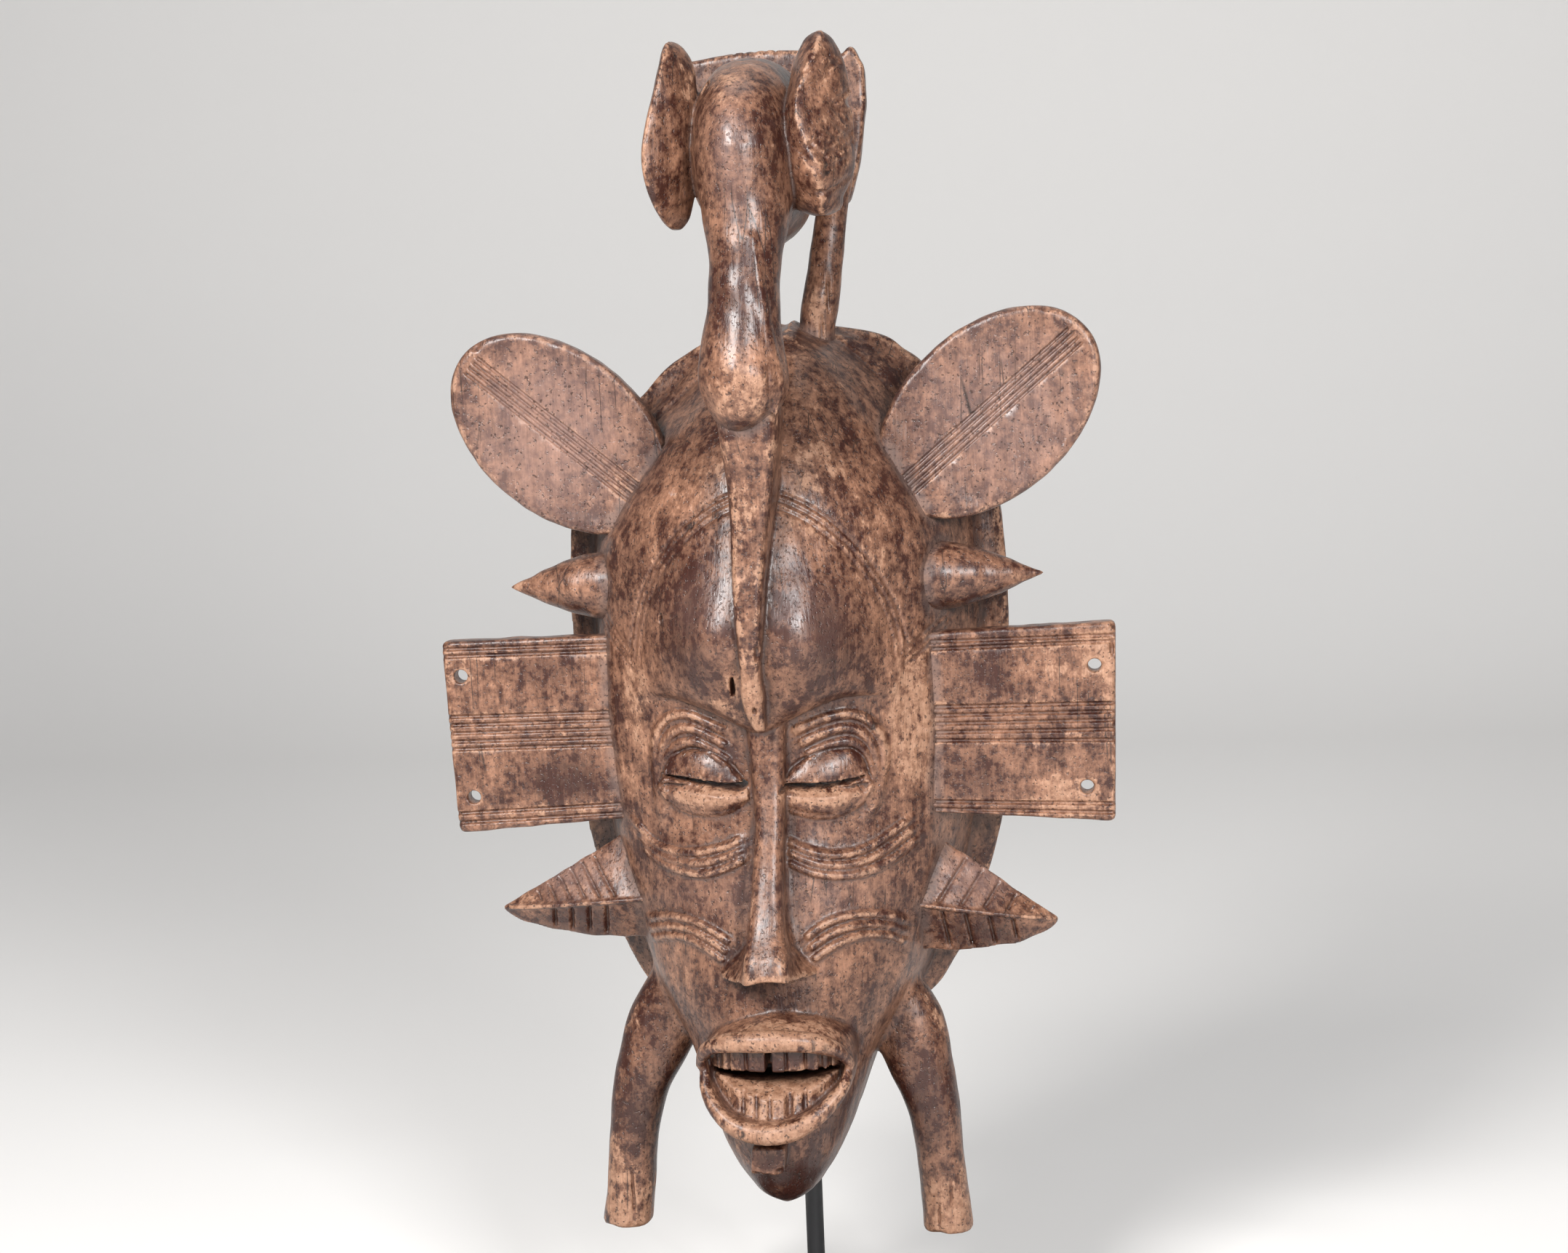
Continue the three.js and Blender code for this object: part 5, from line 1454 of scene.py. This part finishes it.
# Sweeps a round section along the edges of a mesh, with the corners rounded.
def sweepTree():
    tree = bpy.data.node_groups.new("sweptBar", "GeometryNodeTree")
    for name, direction, kind in (
        ("Geometry", "INPUT", "Geometry"), ("Radius", "INPUT", "Float"), ("Bend", "INPUT", "Float"),
        ("Around", "INPUT", "Int"), ("Turn", "INPUT", "Int"), ("Material", "INPUT", "Material"),
        ("Geometry", "OUTPUT", "Geometry"),
    ):
        tree.interface.new_socket(name=name, in_out=direction, socket_type="NodeSocket" + kind)
    start, end = tree.nodes.new("NodeGroupInput"), tree.nodes.new("NodeGroupOutput")
    kinds = ("MeshToCurve", "FilletCurve", "CurveToMesh", "RealizeInstances", "SetMaterial")
    path, fillet, sweep, real, paint = (tree.nodes.new("GeometryNode" + kind) for kind in kinds)
    circle = tree.nodes.new("GeometryNodeCurvePrimitiveCircle")
    fillet.mode = "POLY"
    fillet.inputs["Limit Radius"].default_value = True
    sweep.inputs["Fill Caps"].default_value = True
    for source, target in (
        (start.outputs["Geometry"], path.inputs["Mesh"]), (path.outputs[0], fillet.inputs["Curve"]),
        (start.outputs["Turn"], fillet.inputs["Count"]), (start.outputs["Bend"], fillet.inputs["Radius"]),
        (start.outputs["Around"], circle.inputs["Resolution"]), (start.outputs["Radius"], circle.inputs["Radius"]),
        (fillet.outputs[0], sweep.inputs["Curve"]), (circle.outputs["Curve"], sweep.inputs["Profile Curve"]),
        (sweep.outputs[0], real.inputs[0]), (real.outputs[0], paint.inputs["Geometry"]),
        (start.outputs["Material"], paint.inputs["Material"]), (paint.outputs[0], end.inputs[0]),
    ):
        tree.links.new(source, target)
    return tree


def buildRod():
    points, edges = [], []
    for path in rodPaths:
        edges += [(len(points) + i, len(points) + i + 1) for i in range(len(path) - 1)]
        points += [(x / 1000, (y + backPlane) / 1000, z / 1000) for x, y, z in path]
    mesh = bpy.data.meshes.new("standRod")
    mesh.from_pydata(points, edges, [])
    rod = bpy.data.objects.new("standRod", mesh)
    bpy.context.scene.collection.objects.link(rod)
    modifier = rod.modifiers.new("sweep", "NODES")
    modifier.node_group = sweepTree()
    values = {**rodShape, "Material": black}
    for item in modifier.node_group.interface.items_tree:
        if item.in_out == "INPUT" and item.name in values:
            modifier[item.identifier] = values[item.name]
    return settled(rod)


# The foot keeps the plate and collar of the drawing, with every sharp edge broken.
def buildFoot():
    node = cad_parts["stand_foot"]
    shape = bmesh.new()
    shape.from_mesh(node.data)
    bmesh.ops.transform(shape, matrix=node.matrix_world, verts=shape.verts)
    bmesh.ops.remove_doubles(shape, verts=shape.verts, dist=1e-6)
    bmesh.ops.dissolve_limit(shape, angle_limit=math.radians(1), verts=shape.verts, edges=shape.edges)
    mesh = bpy.data.meshes.new("standFoot")
    shape.to_mesh(mesh)
    shape.free()
    foot = bpy.data.objects.new("standFoot", mesh)
    bpy.context.scene.collection.objects.link(foot)
    bevel = foot.modifiers.new("edges", "BEVEL")
    bevel.width, bevel.segments, bevel.limit_method, bevel.angle_limit = 0.0008, 3, "ANGLE", math.radians(50)
    settled(foot)
    foot.data.set_sharp_from_angle(angle=math.radians(35))
    foot.data.materials.clear()
    foot.data.materials.append(black)
    return foot


for piece, node in ((buildRod(), "stand_rod"), (buildFoot(), "stand_foot")):
    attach(piece, "root")
    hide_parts(node)
print("stand made", flush=True)

# Studio: a plain pale sweep, a large soft key light near the camera, a weaker fill.
floorShape = {"front": -1.6, "back": 1.3, "half": 3.2, "curve": 0.5, "top": 3.0}


def addFloor():
    shape = floorShape
    line = [(shape["front"], 0.0)]
    for step in range(9):
        turn = math.radians(90 * step / 8)
        line.append((shape["back"] + shape["curve"] * math.sin(turn), shape["curve"] * (1 - math.cos(turn))))
    line.append((shape["back"] + shape["curve"], shape["top"]))
    points = [(x, y, z) for y, z in line for x in (-shape["half"], shape["half"])]
    faces = [(2 * i, 2 * i + 1, 2 * i + 3, 2 * i + 2) for i in range(len(line) - 1)]
    mesh = bpy.data.meshes.new("paleSweep")
    mesh.from_pydata(points, [], faces)
    mesh.shade_smooth()
    mesh.materials.append(plainMaterial("palePaper", (0.82, 0.81, 0.79), 0.9))
    floor = bpy.data.objects.new("paleSweep", mesh)
    bpy.context.scene.collection.objects.link(floor)


view = {
    "target": (0.0046, -0.015, 0.254), "azimuth": 6.5, "elevation": 7.0, "roll": 2.3, "distance": 1.0, "lens": 72.63,
}


def addCamera():
    a, e, r = (math.radians(view[key]) for key in ("azimuth", "elevation", "roll"))
    back = Vector((math.sin(a) * math.cos(e), -math.cos(a) * math.cos(e), math.sin(e)))
    level = Vector((math.cos(a), math.sin(a), 0))
    upright = back.cross(level)
    right = math.cos(r) * level - math.sin(r) * upright
    up = math.sin(r) * level + math.cos(r) * upright
    camera = bpy.data.objects.new("camera", bpy.data.cameras.new("camera"))
    camera.data.lens = view["lens"]
    camera.data.sensor_width = 36
    camera.data.clip_start = 0.01
    place = Vector(view["target"]) + view["distance"] * back
    camera.matrix_world = Matrix.Translation(place) @ Matrix((right, up, back)).transposed().to_4x4()
    bpy.context.scene.collection.objects.link(camera)
    bpy.context.scene.camera = camera


lights = {
    "key": {"place": (-0.42, -0.96, 0.88), "aim": (0, 0, 0.3), "size": 0.34, "power": 21, "colour": (1, 0.98, 0.97)},
    "fill": {"place": (0.54, -1.05, 0.62), "aim": (0, 0, 0.3), "size": 0.3, "power": 15, "colour": (1, 0.99, 0.99)},
    "sweep": {"place": (0, 0.45, 1.7), "aim": (0, 1.35, 0.3), "size": 1.0, "power": 7, "colour": (1, 1, 1)},
}


def addLight(name, shape):
    light = bpy.data.objects.new(name, bpy.data.lights.new(name, "AREA"))
    light.data.shape = "SQUARE"
    light.data.size = shape["size"]
    light.data.energy = shape["power"]
    light.data.color = shape["colour"]
    light.location = shape["place"]
    light.rotation_euler = (Vector(shape["aim"]) - Vector(shape["place"])).to_track_quat("-Z", "Y").to_euler()
    bpy.context.scene.collection.objects.link(light)


addFloor()
addCamera()
for name, shape in lights.items():
    addLight(name, shape)
world = bpy.data.worlds.new("studio")
world.use_nodes = True
world.node_tree.nodes["Background"].inputs["Color"].default_value = (0.8, 0.82, 0.88, 1)
world.node_tree.nodes["Background"].inputs["Strength"].default_value = 0.22
bpy.context.scene.world = world
bpy.context.scene.view_settings.view_transform = "Standard"
